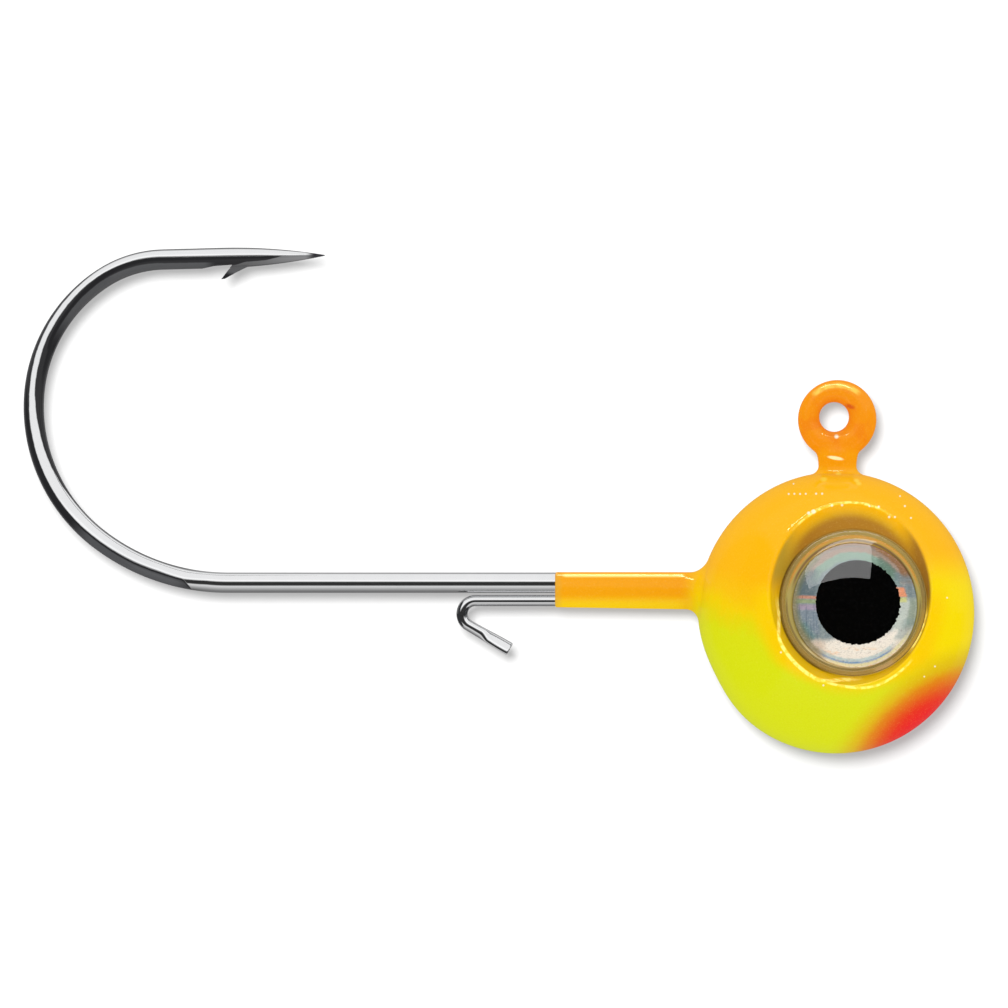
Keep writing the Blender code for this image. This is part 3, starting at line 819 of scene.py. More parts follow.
def lay_strips(steel, place, along, share, across):
    """Dark reflections along both sides of the wire; returns their mask."""
    inner_at, outer_at = strip_limits(share)
    across = across + (place.noise(2.6, rough=0.6) - 0.5) * 0.10
    from_inner = (across - inner_at).fade(0.05, to=-0.05)
    from_outer = (across - outer_at).fade(-0.05, to=0.05)
    dark = from_inner.max(from_outer)
    # greyer strips inside the dark ones
    grey_outer = ((across - outer_at).fade(0.14, to=0.26)
                  * along.band(6.2, half=1.8, soft=1.2))
    grey_inner = (across - inner_at).fade(-0.52, to=-0.66) * along.fade(16.6, to=18.6)
    # painted grey reflection on the underside of the point, up to a line that meets the bright
    # side
    point_reflection_at = along.fade(25.80, to=26.45).scaled(0.32, plus=-0.75)
    point_reflection_at = point_reflection_at + along.fade(26.3, to=27.7) * 0.14
    point_reflection_at = point_reflection_at + along.fade(27.1, to=28.7) * 0.75
    painted_point_reflection = (across - point_reflection_at).fade(0.04, to=-0.04) * from_inner
    painted_point_reflection = painted_point_reflection * along.fade(25.75, to=25.95)
    grey_inner = grey_inner * along.fade(25.2, to=24.6)
    tone = Layers(grey_outer.max(grey_inner).blend((0.024, 0.024, 0.026), (0.100, 0.102, 0.107)))
    point_reflection_tone = along.fade(26.2, to=28.8).blend((0.135, 0.136, 0.14), (0.25, 0.252, 0.26))
    tone.lay(painted_point_reflection, point_reflection_tone)
    steel.lay(dark, tone.colour)
    return dark


def hook_steel_material():
    mat, graph = new_material("black_nickel_hook")
    place, _ = graph.position()
    x, _, z = place.parts()
    steel = Layers(plating(place))
    along = graph.attribute("along")
    share = graph.math("DIVIDE", along, BEND_SPAN, clamp=True)
    dark = lay_strips(steel, place, along, share, graph.attribute("across"))
    # painted dark reflection: a thin dark line at the very edge of the wire
    edge = graph.attribute("rim").fade(0.80, to=0.93) * along.fade(2.6, to=4.2)
    steel.lay(edge, (0.08, 0.08, 0.085), amount=0.75)
    # painted dark and grey reflections on the barb
    spur = z.fade(14.36, to=14.30) * x.band(-24.85, half=0.66, soft=0.05)
    spur = spur * z.fade(12.0, to=13.0)
    barb_reflection_tone = x.scaled(0.3, plus=z).fade(6.38, to=6.62)
    steel.lay(spur, barb_reflection_tone.blend((0.022, 0.022, 0.024), (0.125, 0.126, 0.13)))
    # painted dark reflection at the tip of the point
    tip = x.fade(-21.9, to=-21.5) * z.fade(9.0, to=11.0)
    steel.lay(tip, (0.04, 0.04, 0.045))
    shader = finish_steel(graph, place, steel.colour, bend_lean(graph, share))
    # the dark areas are less of a mirror
    graph.put(shader.inputs["Metallic"], dark.max(spur).scaled(-0.85, plus=1.0))
    shader.inputs["Specular IOR Level"].default_value = 0.2
    return mat


def keeper_steel_material():
    mat, graph = new_material("black_nickel_spring_wire")
    place, _ = graph.position()
    x, _, z = place.parts()
    # the pressed end of the leg is flat and looks up at the light
    leg = z.scaled(-0.5, plus=x).fade(-14.25, to=-13.75) * z.fade(-0.62, to=-0.85)
    lean = graph.vector_math("SCALE", (0.26, -0.10, 0.45), Scale=leg)
    finish_steel(graph, place, plating(place), lean)
    return mat


# ------------------------------------------------------- lead and eye materials

def lead_material():
    mat, graph = new_material("cast_lead")
    place, _ = graph.position()
    cloud = place.noise(1.3, detail=5.0, rough=0.6)
    graph.principled({
        "Base Color": cloud.blend((0.20, 0.21, 0.23), (0.42, 0.43, 0.45)),
        "Metallic": 0.9,
        "Roughness": cloud.scaled(0.3, plus=0.4),
        "Normal": graph.bump(place.noise(6.0, detail=3.0), strength=0.4, distance=0.02)})
    return mat


def adhesive_material():
    """Pale foam, browner above, with thin rings beyond the foil's edge."""
    mat, graph = new_material("eye_adhesive_foam")
    place, _ = graph.position()
    x, _, z = place.parts()
    grain = place.noise(5.0, detail=3.0, rough=0.6)
    foam = Layers(z.fade(0.9, to=2.4).blend(rgb(196, 186, 104), rgb(206, 164, 58)))
    foam.lay(z.fade(-0.8, to=-2.2), rgb(214, 196, 148))
    _, eye_z, eye_r = about_eye(x, z)
    upper = eye_z.fade(0.3, to=1.1)
    foam.lay(upper * eye_r.band(2.28, half=0.025, soft=0.035), rgb(132, 96, 52))
    foam.lay(upper * eye_r.band(2.42, half=0.020, soft=0.045), rgb(236, 166, 52))
    foam.lay(eye_z.fade(-1.2, to=-1.8) * eye_r.band(2.34, half=0.03, soft=0.03),
             rgb(248, 242, 204))
    foam.lay(eye_z.fade(0.4, to=-0.2) * eye_r.band(2.42, half=0.015, soft=0.03),
             rgb(150, 134, 78))
    foam.lay(grain, rgb(166, 144, 76), amount=0.4)
    graph.principled({
        "Base Color": foam.colour,
        "Roughness": 0.55,
        "Normal": graph.bump(grain, strength=0.3, distance=0.01)})
    return mat


class FoilPlace:
    """Signals that the foil's layers share; the ragged ones are shaken by noise."""

    def __init__(self, place):
        x, _, z = place.parts()
        self.place = place
        self.x, self.z, self.r = about_eye(x, z)
        self.warp = place.noise(1.2, detail=3.0, rough=0.6)
        self.fine = place.stretched(7.0, 1.0, 1.0).noise(2.2, rough=0.6)
        self.warp_shift = (self.warp - 0.5) * 0.9
        self.fine_shift = (self.fine - 0.5) * 0.35
        self.shake = self.warp_shift + self.fine_shift
        self.ragged_r = self.shake.scaled(0.30, plus=self.r)
        self.ragged_z = self.shake.scaled(0.35, plus=self.z)
        self.ragged_x = self.shake.scaled(0.35, plus=self.x)


def lay_foil_top(foil, at):
    """Arcs round the top, slate blue towards the collar, teal and rust towards the front."""
    x, z, r = at.ragged_x, at.ragged_z, at.ragged_r
    top = z.fade(0.55, to=1.0)
    foil.lay(top * r.band(1.72, half=0.10, soft=0.14), rgb(140, 172, 152), amount=0.85)
    foil.lay(top * r.band(1.95, half=0.06, soft=0.10), rgb(176, 148, 130), amount=0.85)
    foil.lay(top * r.fade(2.02, to=2.14), rgb(166, 128, 100), amount=0.85)
    foil.lay(x.fade(-1.1, to=-1.5) * z.band(0.72, half=0.38, soft=0.2),
             rgb(86, 106, 116), amount=0.85)
    foil.lay(x.fade(0.75, to=1.05) * z.fade(0.75, to=1.0) * r.fade(2.0, to=1.86),
             rgb(96, 128, 112), amount=0.85)
    foil.lay(x.fade(1.35, to=1.6) * z.band(0.95, half=0.10, soft=0.12),
             rgb(120, 140, 146), amount=0.8)
    foil.lay(x.fade(0.6, to=0.95) * z.fade(0.8, to=1.1) * r.fade(1.98, to=2.1),
             rgb(160, 110, 62), amount=0.75)


def lay_foil_rear(foil, at):
    """Collar side: blue and teal, thin bands level with the centre, dark streaks."""
    rear = at.x.fade(-1.15, to=-1.35)
    foil.lay(rear * at.ragged_z.band(-0.65, half=0.42, soft=0.2), rgb(132, 148, 166), amount=0.8)
    foil.lay(rear * at.ragged_z.band(-1.0, half=0.18, soft=0.2) * at.r.fade(1.7, to=1.95),
             rgb(104, 146, 146), amount=0.8)
    fine_z = at.shake.scaled(0.10, plus=at.z)
    foil.lay(rear * fine_z.band(0.21, half=0.02, soft=0.07), rgb(214, 140, 108), amount=0.8)
    foil.lay(rear * fine_z.band(0.06, half=0.03, soft=0.08), rgb(158, 176, 112), amount=0.7)
    foil.lay(rear * fine_z.band(-0.15, half=0.05, soft=0.10), rgb(186, 158, 190), amount=0.6)
    streak = at.place.stretched(9.0, 1.0, 0.7).noise(1.6, detail=3.0, rough=0.7)
    foil.lay(rear * streak.fade(0.52, to=0.62) * at.z.fade(0.1, to=-0.3),
             rgb(70, 96, 122), amount=0.55)
    foil.lay(rear * at.r.fade(1.90, to=2.06), rgb(116, 128, 96), amount=0.6)


def lay_foil_front(foil, at):
    """Front side: white below, grey-green at the edge, yellow and orange patches."""
    front = at.x.fade(1.30, to=1.50)
    foil.lay(front * at.ragged_z.fade(0.25, to=0.0), rgb(206, 216, 208), amount=0.9)
    level = at.ragged_z.fade(0.25, to=0.0) * at.z.fade(-1.35, to=-1.0)
    foil.lay(front * level * at.ragged_r.fade(1.96, to=2.08), rgb(150, 168, 150), amount=0.8)
    foil.lay(front * at.z.band(0.12, half=0.05, soft=0.08) * at.r.fade(2.0, to=1.9),
             rgb(222, 222, 120), amount=0.75)
    foil.lay(front * at.z.band(0.40, half=0.13, soft=0.08) * at.ragged_r.fade(2.0, to=1.9),
             rgb(252, 158, 108), amount=0.9)


def lay_foil_bottom(foil, at):
    """White and cream with pits, and blue and yellow lines round the lower edge."""
    low = at.x.scaled(-0.15, plus=at.ragged_z).fade(-1.05, to=-1.35)
    foil.lay(low, rgb(255, 248, 238), amount=0.94)
    foil.lay(low * at.ragged_x.fade(-0.9, to=-1.25), rgb(206, 184, 164), amount=0.75)
    foil.lay(at.x.fade(1.30, to=1.60) * at.z.band(-0.95, half=0.28, soft=0.20)
             * at.ragged_r.fade(1.86, to=2.0), rgb(150, 172, 172), amount=0.6)
    cream = at.place.stretched(1.0, 1.0, 2.2).noise(2.6, detail=3.0, rough=0.65)
    foil.lay(low * cream.fade(0.50, to=0.60) * at.z.fade(-1.55, to=-1.75),
             rgb(252, 222, 190), amount=0.75)
    pits = at.place.noise(11.0, detail=3.0, rough=0.7).fade(0.62, to=0.70)
    foil.lay(low * pits, rgb(150, 120, 110), amount=0.5)
    bottom = at.z.fade(-0.9, to=-1.5)
    arc = at.fine_shift.scaled(0.16, plus=at.warp_shift.scaled(0.05, plus=at.r))
    vary = at.place.noise(2.4, detail=3.0, rough=0.7).fade(0.38, to=0.62)
    vary = vary.scaled(0.35, plus=0.60)
    span = bottom * at.x.fade(-1.40, to=-1.00) * at.x.fade(1.60, to=1.25)
    foil.lay(span * arc.band(2.11, half=0.03, soft=0.09) * vary, rgb(160, 202, 218), amount=0.75)
    foil.lay(span * arc.band(2.205, half=0.025, soft=0.05) * vary, rgb(74, 144, 214), amount=0.85)
    foil.lay(bottom * arc.band(2.28, half=0.04, soft=0.04) * at.x.fade(-1.3, to=-0.6),
             rgb(250, 244, 192), amount=0.8)


def foil_material():
    """Holographic foil: interference colours in bands, brushed streaks."""
    mat, graph = new_material("holographic_foil")
    place, _ = graph.position()
    at = FoilPlace(place)
    foil = Layers(at.fine.blend(rgb(104, 124, 132), rgb(158, 172, 176)))
    lay_foil_top(foil, at)
    lay_foil_rear(foil, at)
    lay_foil_front(foil, at)
    lay_foil_bottom(foil, at)
    foil.lay(at.x.fade(-0.9, to=-1.4) * at.r.fade(2.02, to=2.16), rgb(150, 142, 104), amount=0.8)
    grit = place.stretched(2.2, 1.0, 5.0).noise(5.0, detail=3.0, rough=0.75)
    foil.lay(grit.fade(0.50, to=0.68), rgb(86, 92, 88), amount=0.28)
    foil.lay(grit.fade(0.46, to=0.30), rgb(250, 248, 236), amount=0.25)
    graph.principled({
        "Base Color": foil.colour,
        "Metallic": 0.35,
        "Roughness": at.fine.scaled(0.2, plus=0.22),
        "Normal": graph.bump(at.fine + at.warp, strength=0.25, distance=0.01)})
    return mat


def ink_material():
    mat, graph = new_material("pupil_ink")
    place, _ = graph.position()
    grain = place.noise(9.0, detail=4.0, rough=0.65)
    black, worn = (0.0006, 0.0006, 0.0006), (0.004, 0.004, 0.0042)
    graph.principled({
        "Base Color": grain.fade(0.45, to=0.75).blend(black, worn),
        "Roughness": 0.6,
        "Specular IOR Level": 0.01,
        "Normal": graph.bump(grain, strength=0.3, distance=0.01)})
    return mat


def lens_material():
    """Clear epoxy dome, a trace of yellow in its edge."""
    mat, graph = new_material("clear_lens")
    place, _ = graph.position()
    x, _, z = place.parts()
    _, _, eye_r = about_eye(x, z)
    graph.principled({
        "Base Color": eye_r.fade(2.62, to=2.86).blend((0.985, 0.985, 0.98), (0.86, 0.83, 0.66)),
        "Specular IOR Level": eye_r.fade(2.43, to=2.50).scaled(-0.36, plus=0.5),
        "Transmission Weight": 1.0,
        "IOR": 1.49,
        "Roughness": 0.0})
    return mat


# ----------------------------------------------------------------------- wires

class Path:
    """Line in x, z that is walked from a start with a heading in degrees."""

    def __init__(self, x, z, heading):
        self.points = [(x, z)]
        self.heading = math.radians(heading)

    def line(self, span, step=0.25):
        x, z = self.points[-1]
        n = max(1, int(math.ceil(abs(span) / step)))
        for i in range(1, n + 1):
            self.points.append((x + span * i / n * math.cos(self.heading),
                                z + span * i / n * math.sin(self.heading)))
        return self

    def arc(self, radius, turn, per):
        """Turn by degrees, left if positive, with a point at least every per degrees."""
        x, z = self.points[-1]
        side = 1.0 if turn > 0 else -1.0
        start = self.heading - side * math.pi / 2
        centre_x, centre_z = x - radius * math.cos(start), z - radius * math.sin(start)
        n = max(3, int(math.ceil(abs(turn) / per)))
        # a right turn keeps the original sense of the angle as well
        for i in range(1, n + 1):
            angle = start + math.radians(turn) * i / n
            self.points.append((centre_x + radius * math.cos(angle),
                                centre_z + radius * math.sin(angle)))
        self.heading += math.radians(turn)
        return self


def eased_rings(centre, outward, radius, ease):
    """Centres and radii of the rings that round off an end."""
    if not ease:
        return []
    angles = [math.radians(t) for t in (15, 35, 55, 75)]
    return [(centre + outward * ease * math.sin(a), radius - ease * (1.0 - math.cos(a)))
            for a in angles]


def tube(points, radius_at, around, start_ease, end_ease, flat_at=lambda share: 1.0):
    """Round bar along points in the plane y = 0 with eased ends."""
    points = np.array(points, float)
    keep = [0]
    for i in range(1, len(points)):
        if np.hypot(*(points[i] - points[keep[-1]])) > 1e-4:
            keep.append(i)
    points = points[keep]
    seg = np.diff(points, axis=0)
    seg_len = np.hypot(seg[:, 0], seg[:, 1])
    along = np.concatenate([[0.0], np.cumsum(seg_len)])
    total = along[-1]
    tangents = np.empty_like(points)
    ways = seg / seg_len[:, None]
    tangents[0], tangents[-1] = ways[0], ways[-1]
    tangents[1:-1] = ways[:-1] + ways[1:]
    tangents /= np.hypot(tangents[:, 0], tangents[:, 1])[:, None]

    # centre, tangent, radius, share of the length
    first, last = tangents[0], tangents[-1]
    start = eased_rings(points[0], -first, radius_at(0.0, total), start_ease)
    end = eased_rings(points[-1], last, radius_at(total, total), end_ease)
    rings = [(c, first, r, 0.0) for c, r in reversed(start)]
    rings += [(c, t, radius_at(s, total), s / total) for c, t, s in zip(points, tangents, along)]
    rings += [(c, last, r, 1.0) for c, r in end]

    verts, faces = [], []
    for centre, tangent, radius, share in rings:
        normal = np.array([-tangent[1], tangent[0]])
        radius_y = radius * flat_at(share)
        for k in range(around):
            a = math.tau * k / around
            off = normal * (radius * math.cos(a))
            verts.append((centre[0] + off[0], radius_y * math.sin(a), centre[1] + off[1]))
    for i in range(len(rings) - 1):
        a, b = i * around, (i + 1) * around
        for k in range(around):
            k2 = (k + 1) % around
            faces.append((a + k, a + k2, b + k2, b + k))
    for i in (0, len(rings) - 1):
        centre = rings[i][0]
        tip = len(verts)
        verts.append((centre[0], 0.0, centre[1]))
        for k in range(around):
            faces.append((tip, i * around + k, i * around + (k + 1) % around))
    return verts, faces


WIRE_R = 0.42
RING_WIRE_R = 0.36                       # thinner where the wire forms the ring
SHANK_Z = 1.24
BEND = ((8.73, 37.5), (6.86, 56.5), (6.29, 52.6), (4.75, 31.9))  # radius, degrees
BEND_START_X = -25.07
POINT_X = -21.07
TAPER = 4.20
TIP_R = 0.018
BEND_ZERO_X = -23.0                      # where the "along" attribute is 0


def hook_path():
    """From the ring's loose end, down the neck, along the shank and round the bend."""
    ring_x, ring_z, ring_r = -0.014, 8.024, 1.10
    ease_r, end_angle = 0.60, 250.0
    elbow_r = 1.60
    fine_span = 3.30                     # last straight, with closer points
    drop = math.sqrt(ring_r ** 2 + 2 * ring_r * ease_r)
    ease_turn = 180.0 - math.degrees(math.atan2(drop, -ease_r))
    start = math.radians(end_angle)
    path = Path(ring_x + ring_r * math.cos(start), ring_z + ring_r * math.sin(start),
                end_angle - 90.0)
    path.arc(ring_r, -((end_angle + ease_turn) % 360.0), per=6.0)
    path.arc(ease_r, ease_turn, per=6.0)
    path.line((ring_z - drop) - (SHANK_Z + elbow_r), step=0.4)
    path.arc(elbow_r, -90.0, per=6.0)
    path.line((ring_x - elbow_r) - BEND_START_X, step=0.30)
    for radius, turn in BEND:
        path.arc(radius, -turn, per=1.6)
    path.line((POINT_X - path.points[-1][0]) / math.cos(path.heading) - fine_span, step=0.15)
    path.line(fine_span, step=0.055)
    return path


def hook_radius(along, total):
    if along < 9.0:
        return RING_WIRE_R + (WIRE_R - RING_WIRE_R) * float(smooth(7.6, 9.0, along))
    back = total - along
    if back > TAPER:
        return WIRE_R
    t = 1.0 - back / TAPER
    tip = TIP_R / WIRE_R
    return WIRE_R * (tip + (1.0 - tip) * (1.0 - t ** 1.95))


def working_solid(name, verts, faces):
    mesh = bpy.data.meshes.new(name)
    mesh.from_pydata((np.array(verts, float)).tolist(), [], [list(f) for f in faces])
    face_outward(mesh)
    return place(name, mesh)


def prism(name, outline):
    """Solid from corners of (x, z, half width)."""
    n = len(outline)
    verts = [(x, -half, z) for x, z, half in outline]
    verts += [(x, half, z) for x, z, half in outline]
    faces = [tuple(range(n)), tuple(range(2 * n - 1, n - 1, -1))]
    faces += [(i, (i + 1) % n, n + (i + 1) % n, n + i) for i in range(n)]
    return working_solid(name, verts, faces)


def boolean_apply(obj, other, operation):
    mod = obj.modifiers.new(operation, "BOOLEAN")
    mod.operation = operation
    mod.solver = "EXACT"
    mod.object = other
    bpy.context.view_layer.update()
    depsgraph = bpy.context.evaluated_depsgraph_get()
    mesh = bpy.data.meshes.new_from_object(obj.evaluated_get(depsgraph))
    obj.modifiers.clear()
    old = obj.data
    obj.data = mesh
    bpy.data.meshes.remove(old)
    bpy.data.objects.remove(other, do_unlink=True)


def mark_wire(piece, points):
    """Store on each vertex how far along the bend it is, and how far off the middle line."""
    co = np.empty(len(piece.data.vertices) * 3)
    piece.data.vertices.foreach_get("co", co)
    co = co.reshape(-1, 3) / MM - CENTRE
    seg = np.diff(points, axis=0)
    seg_len = np.hypot(seg[:, 0], seg[:, 1])
    good = seg_len > 1e-6
    seg, seg_len, base = seg[good], seg_len[good], points[:-1][good]
    start = np.concatenate([[0.0], np.cumsum(seg_len)[:-1]])
    shank = np.argmin(np.hypot(base[:, 0] - BEND_ZERO_X, base[:, 1] - SHANK_Z))
    zero = start[shank] + (base[shank, 0] - BEND_ZERO_X)
    along = np.empty(len(co))
    across = np.empty(len(co))
    batch = 4000                         # keeps the distance tables small
    for i in range(0, len(co), batch):
        q = co[i:i + batch, [0, 2]][:, None, :] - base[None]
        t = np.clip((q * seg[None]).sum(-1) / (seg_len ** 2)[None], 0.0, 1.0)
        off = q - t[..., None] * seg[None]
        nearest = np.hypot(off[..., 0], off[..., 1]).argmin(1)
        row = np.arange(len(nearest))
        along[i:i + batch] = start[nearest] + t[row, nearest] * seg_len[nearest] - zero
        out = np.stack([-seg[nearest, 1], seg[nearest, 0]], -1) / seg_len[nearest][:, None]
        across[i:i + batch] = (off[row, nearest] * out).sum(-1) / WIRE_R
    total = start[-1] + seg_len[-1]
    local = np.array([hook_radius(float(v), total) for v in along + zero])
    rim = np.abs(across) * WIRE_R / np.maximum(local, 0.05)
    for name, values in (("along", along), ("across", across), ("rim", rim)):
        layer = piece.data.attributes.new(name, "FLOAT", "POINT")
        layer.data.foreach_set("value", values.astype(np.float32))


def build_hook(mat):
    path = hook_path()
    verts, faces = tube(path.points, hook_radius, around=40, start_ease=0.05, end_ease=0.0)
    obj = working_solid("hook_work", verts, faces)
    (x0, z0), (x1, z1) = path.points[-30], path.points[-1]

    def edge(x):
        """Height of the wire's underside before the point."""
        return z0 + (z1 - z0) * (x - x0) / (x1 - x0) - WIRE_R

    # spur under the wire: its root is at the undercut, its tip hangs back and down
    root, front = -24.89, -24.30
    tip_x, tip_z = -25.345, 13.75
    spur = prism("spur", [
        (tip_x, tip_z, 0.035),
        (tip_x + 0.16, tip_z + 0.02, 0.06),
        (front - 0.42, edge(front) - 0.20, 0.15),
        (front - 0.14, edge(front) - 0.06, 0.20),
        (front + 0.06, edge(front) + 0.03, 0.22),
        (front + 0.10, edge(front) + 0.32, 0.20),
        (root - 0.02, edge(root) + 0.32, 0.20),
        (root - 0.03, edge(root) + 0.05, 0.17),
        (tip_x + 0.02, tip_z + 0.10, 0.045)])
    boolean_apply(obj, spur, "UNION")
    notch_half = 0.7
    notch = prism("notch", [(x, z, notch_half) for x, z in (
        (root, edge(root) + 0.13),
        (tip_x - 0.30, edge(root) + 0.075),
        (tip_x - 0.85, edge(root) - 0.05),
        (tip_x - 0.85, tip_z - 0.15),
        (tip_x - 0.075, tip_z - 0.10),
        (root - 0.12, edge(root) - 0.03))])
    boolean_apply(obj, notch, "DIFFERENCE")
    verts = [tuple(v.co) for v in obj.data.vertices]
    faces = [tuple(f.vertices) for f in obj.data.polygons]
    bpy.data.objects.remove(obj, do_unlink=True)
    piece = add_piece("hook_wire", verts, faces, mat, "hook", sharp_angle=40)
    mark_wire(piece, np.array(path.points))


def build_keeper(mat):
    """Wire under the collar, bent down inside the ball and back below itself at the far end."""
    start_x, wire_z = -4.40, 0.503
    turn_x, turn_r = -14.868, 0.548
    anchor = Path(start_x, wire_z, 0.0).arc(0.70, -55.0, per=6.0).line(0.90)
    run = Path(start_x, wire_z, 180.0)
    run.line(start_x - turn_x, step=0.3)
    run.arc(turn_r, 150.0, per=4.0)
    run.line(1.90, step=0.12)

    # the snipped end of the leg is pressed a little wide and flat
    def radius(along, total):
        return 0.232 + 0.040 * float(smooth(total - 1.7, total - 0.2, along))

    def flat(share):
        return 1.0 - 0.32 * float(smooth(0.87, 0.97, share))

    points = list(reversed(anchor.points)) + run.points[1:]
    verts, faces = tube(points, radius, around=36, start_ease=0.04, end_ease=0.06, flat_at=flat)
    add_piece("bait_keeper_wire", verts, faces, mat, "keeper_wire",
              sharp_angle=50)


# ----------------------------------------------------------------- eye pieces

def lathe(profile, around, radius_at=lambda radius, k: radius):
    """Closed solid of revolution: (radius, depth) pairs, first and last on the axis."""
    verts = [(0.0, 0.0, profile[0][1])]
    rows = []
    for radius, depth in profile[1:-1]:
        rows.append(range(len(verts), len(verts) + around))
        for k in range(around):
            a = math.tau * k / around
            r = radius_at(radius, k)
            verts.append((r * math.cos(a), r * math.sin(a), depth))
    last = len(verts)
    verts.append((0.0, 0.0, profile[-1][1]))
    faces = []
    for k in range(around):
        k2 = (k + 1) % around
        faces.append((0, rows[0][k], rows[0][k2]))
        for a, b in zip(rows, rows[1:]):
            faces.append((a[k], b[k], b[k2], a[k2]))
        faces.append((last, rows[-1][k2], rows[-1][k]))
    return verts, faces


def in_socket(verts, side, dx=0.0, dz=0.0):
    """From the eye's own frame (axis out of the head) to the ball's frame."""
    return [(EYE_X + dx + x, side * depth, EYE_Z + dz + z) for x, z, depth in verts]


def lens_profile():
    """Dome, a small step at its foot, and a straight skirt with a rounded shoulder."""
    dome_r, dome_foot, dome_height, steps = 2.80, 3.66, 1.40, 40
    skirt_r, back = 3.00, 3.236
    shoulder_r, shoulder_depth = 0.08, 3.52
    profile = []
    for i in range(steps + 1):
        r = dome_r * math.sin(0.5 * math.pi * i / steps)
        profile.append((r, dome_foot + dome_height * (1.0 - (r / dome_r) ** 2.2) ** 0.62))
    profile += [(2.805, 3.622), (2.825, 3.596), (2.86, 3.592)]
    for degrees in (90, 68, 45, 22, 0):
        a = math.radians(degrees)
        profile.append((2.92 + shoulder_r * math.cos(a),
                        shoulder_depth + shoulder_r * math.sin(a)))
    return profile + [(skirt_r, 3.40), (skirt_r, back + 0.03), (skirt_r - 0.03, back), (0.0, back)]


def foil_profile():
    """Pressed disc with slight ripples and a soft roll at its edge."""
    face, roll_start, foil_r = 3.320, 2.220, 2.275
    profile = []
    for r in [0.0, *np.linspace(0.12, 2.16, 22), roll_start, 2.255, 2.270, foil_r]:
        drop = 0.02 * (max(r - roll_start, 0.0) / 0.055) ** 2
        profile.append((r, face - drop + 0.0025 * math.sin(r * 9.0)))
    return profile + [(foil_r, 3.272), (2.255, 3.262), (0.0, 3.262)]


def pupil_solid():
    """Thick printed ink with the ragged edge of a screen print."""
    around, radius = 360, 1.535
    steps = np.arange(around)
    rng = np.random.default_rng(7)

    def wave(count, phase=0.0):
        return np.cos(count * steps * math.tau / around + phase)

    edge = np.zeros(around)
    for count in range(22, 96):
        edge += rng.normal() * wave(count, rng.uniform(0, math.tau))
    edge = edge / np.abs(edge).max() * (0.034 + 0.016 * wave(1))
    edge += 0.012 * wave(3, 0.7)
    # share of the radius, depth
    profile = [(0.0, 3.340), (0.5, 3.342), (0.9, 3.341), (0.97, 3.338), (1.0, 3.330),
               (1.0, 3.312), (0.0, 3.312)]
    return lathe(profile, around, lambda share, k: radius * share + edge[k] * share ** 6)


def build_eye(label, side, foil, ink, lens):
    around = 128
    verts, faces = lathe(foil_profile(), around)
    add_piece(f"foil_disc_{label}", in_socket(verts, side, dx=0.05, dz=-0.095), faces, foil,
              f"eye_foil_{label}", sharp_angle=60)
    verts, faces = pupil_solid()
    add_piece(f"pupil_disc_{label}", in_socket(verts, side, dx=0.155, dz=0.02), faces, ink,
              f"eye_pupil_{label}", sharp_angle=60)
    verts, faces = lathe(lens_profile(), around)
    dome = add_piece(f"lens_dome_{label}", in_socket(verts, side), faces, lens,
                     f"eye_dome_{label}", sharp_angle=35)
    hide_from(dome, "diffuse", "shadow")
    return dome


# ----------------------------------------------------------------------- build

def build_coat(mat):
    """Enamel as a shell: the outer skin and an inner one that faces inwards."""
    verts, quads = mesh_field(coat_field, COAT_STEP, relax=4)
    in_verts, in_quads = mesh_field(inner_coat_field, HIDDEN_STEP, relax=2)
    shell_verts = np.concatenate([verts, in_verts])
    shell_quads = np.concatenate([turned_outward(verts, quads),
                                  turned_outward(in_verts, in_quads)[:, ::-1] + len(verts)])
    coat = add_piece("enamel_coat", shell_verts, shell_quads, mat, "paint_coat",
                     turn=False)
    hide_from(coat, "glossy")
    return coat


def build_lead(mat):
    verts, quads = mesh_field(lead_field, HIDDEN_STEP, relax=2)
    add_piece("lead_casting", verts, quads, mat, "head_casting")


paint = paint_material()
hook_steel = hook_steel_material()
keeper_steel = keeper_steel_material()
lead = lead_material()
glue = adhesive_material()
eye_materials = (foil_material(), ink_material(), lens_material())

EYES = (("right", -1.0), ("left", 1.0))
coat = build_coat(paint)
build_lead(lead)
build_hook(hook_steel)
build_keeper(keeper_steel)
lenses = [build_eye(label, side, *eye_materials) for label, side in EYES]
for label, _ in EYES:
    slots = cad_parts[f"eye_adhesive_{label}"].data.materials
    slots.clear()
    slots.append(glue)


# ----------------------------------------------------------------------- world

# what reflections see round the X axis: degrees above -Y, display grey
STUDIO_GREYS = [
    (-180, 120), (-124, 110), (-100, 126), (-72, 168), (-58, 192), (-42, 212), (-36, 180),
    (-30, 62), (-24, 46), (6, 42), (13, 190), (18, 246), (29, 246), (38, 232), (112, 230),
    (122, 165), (150, 150), (180, 120)]


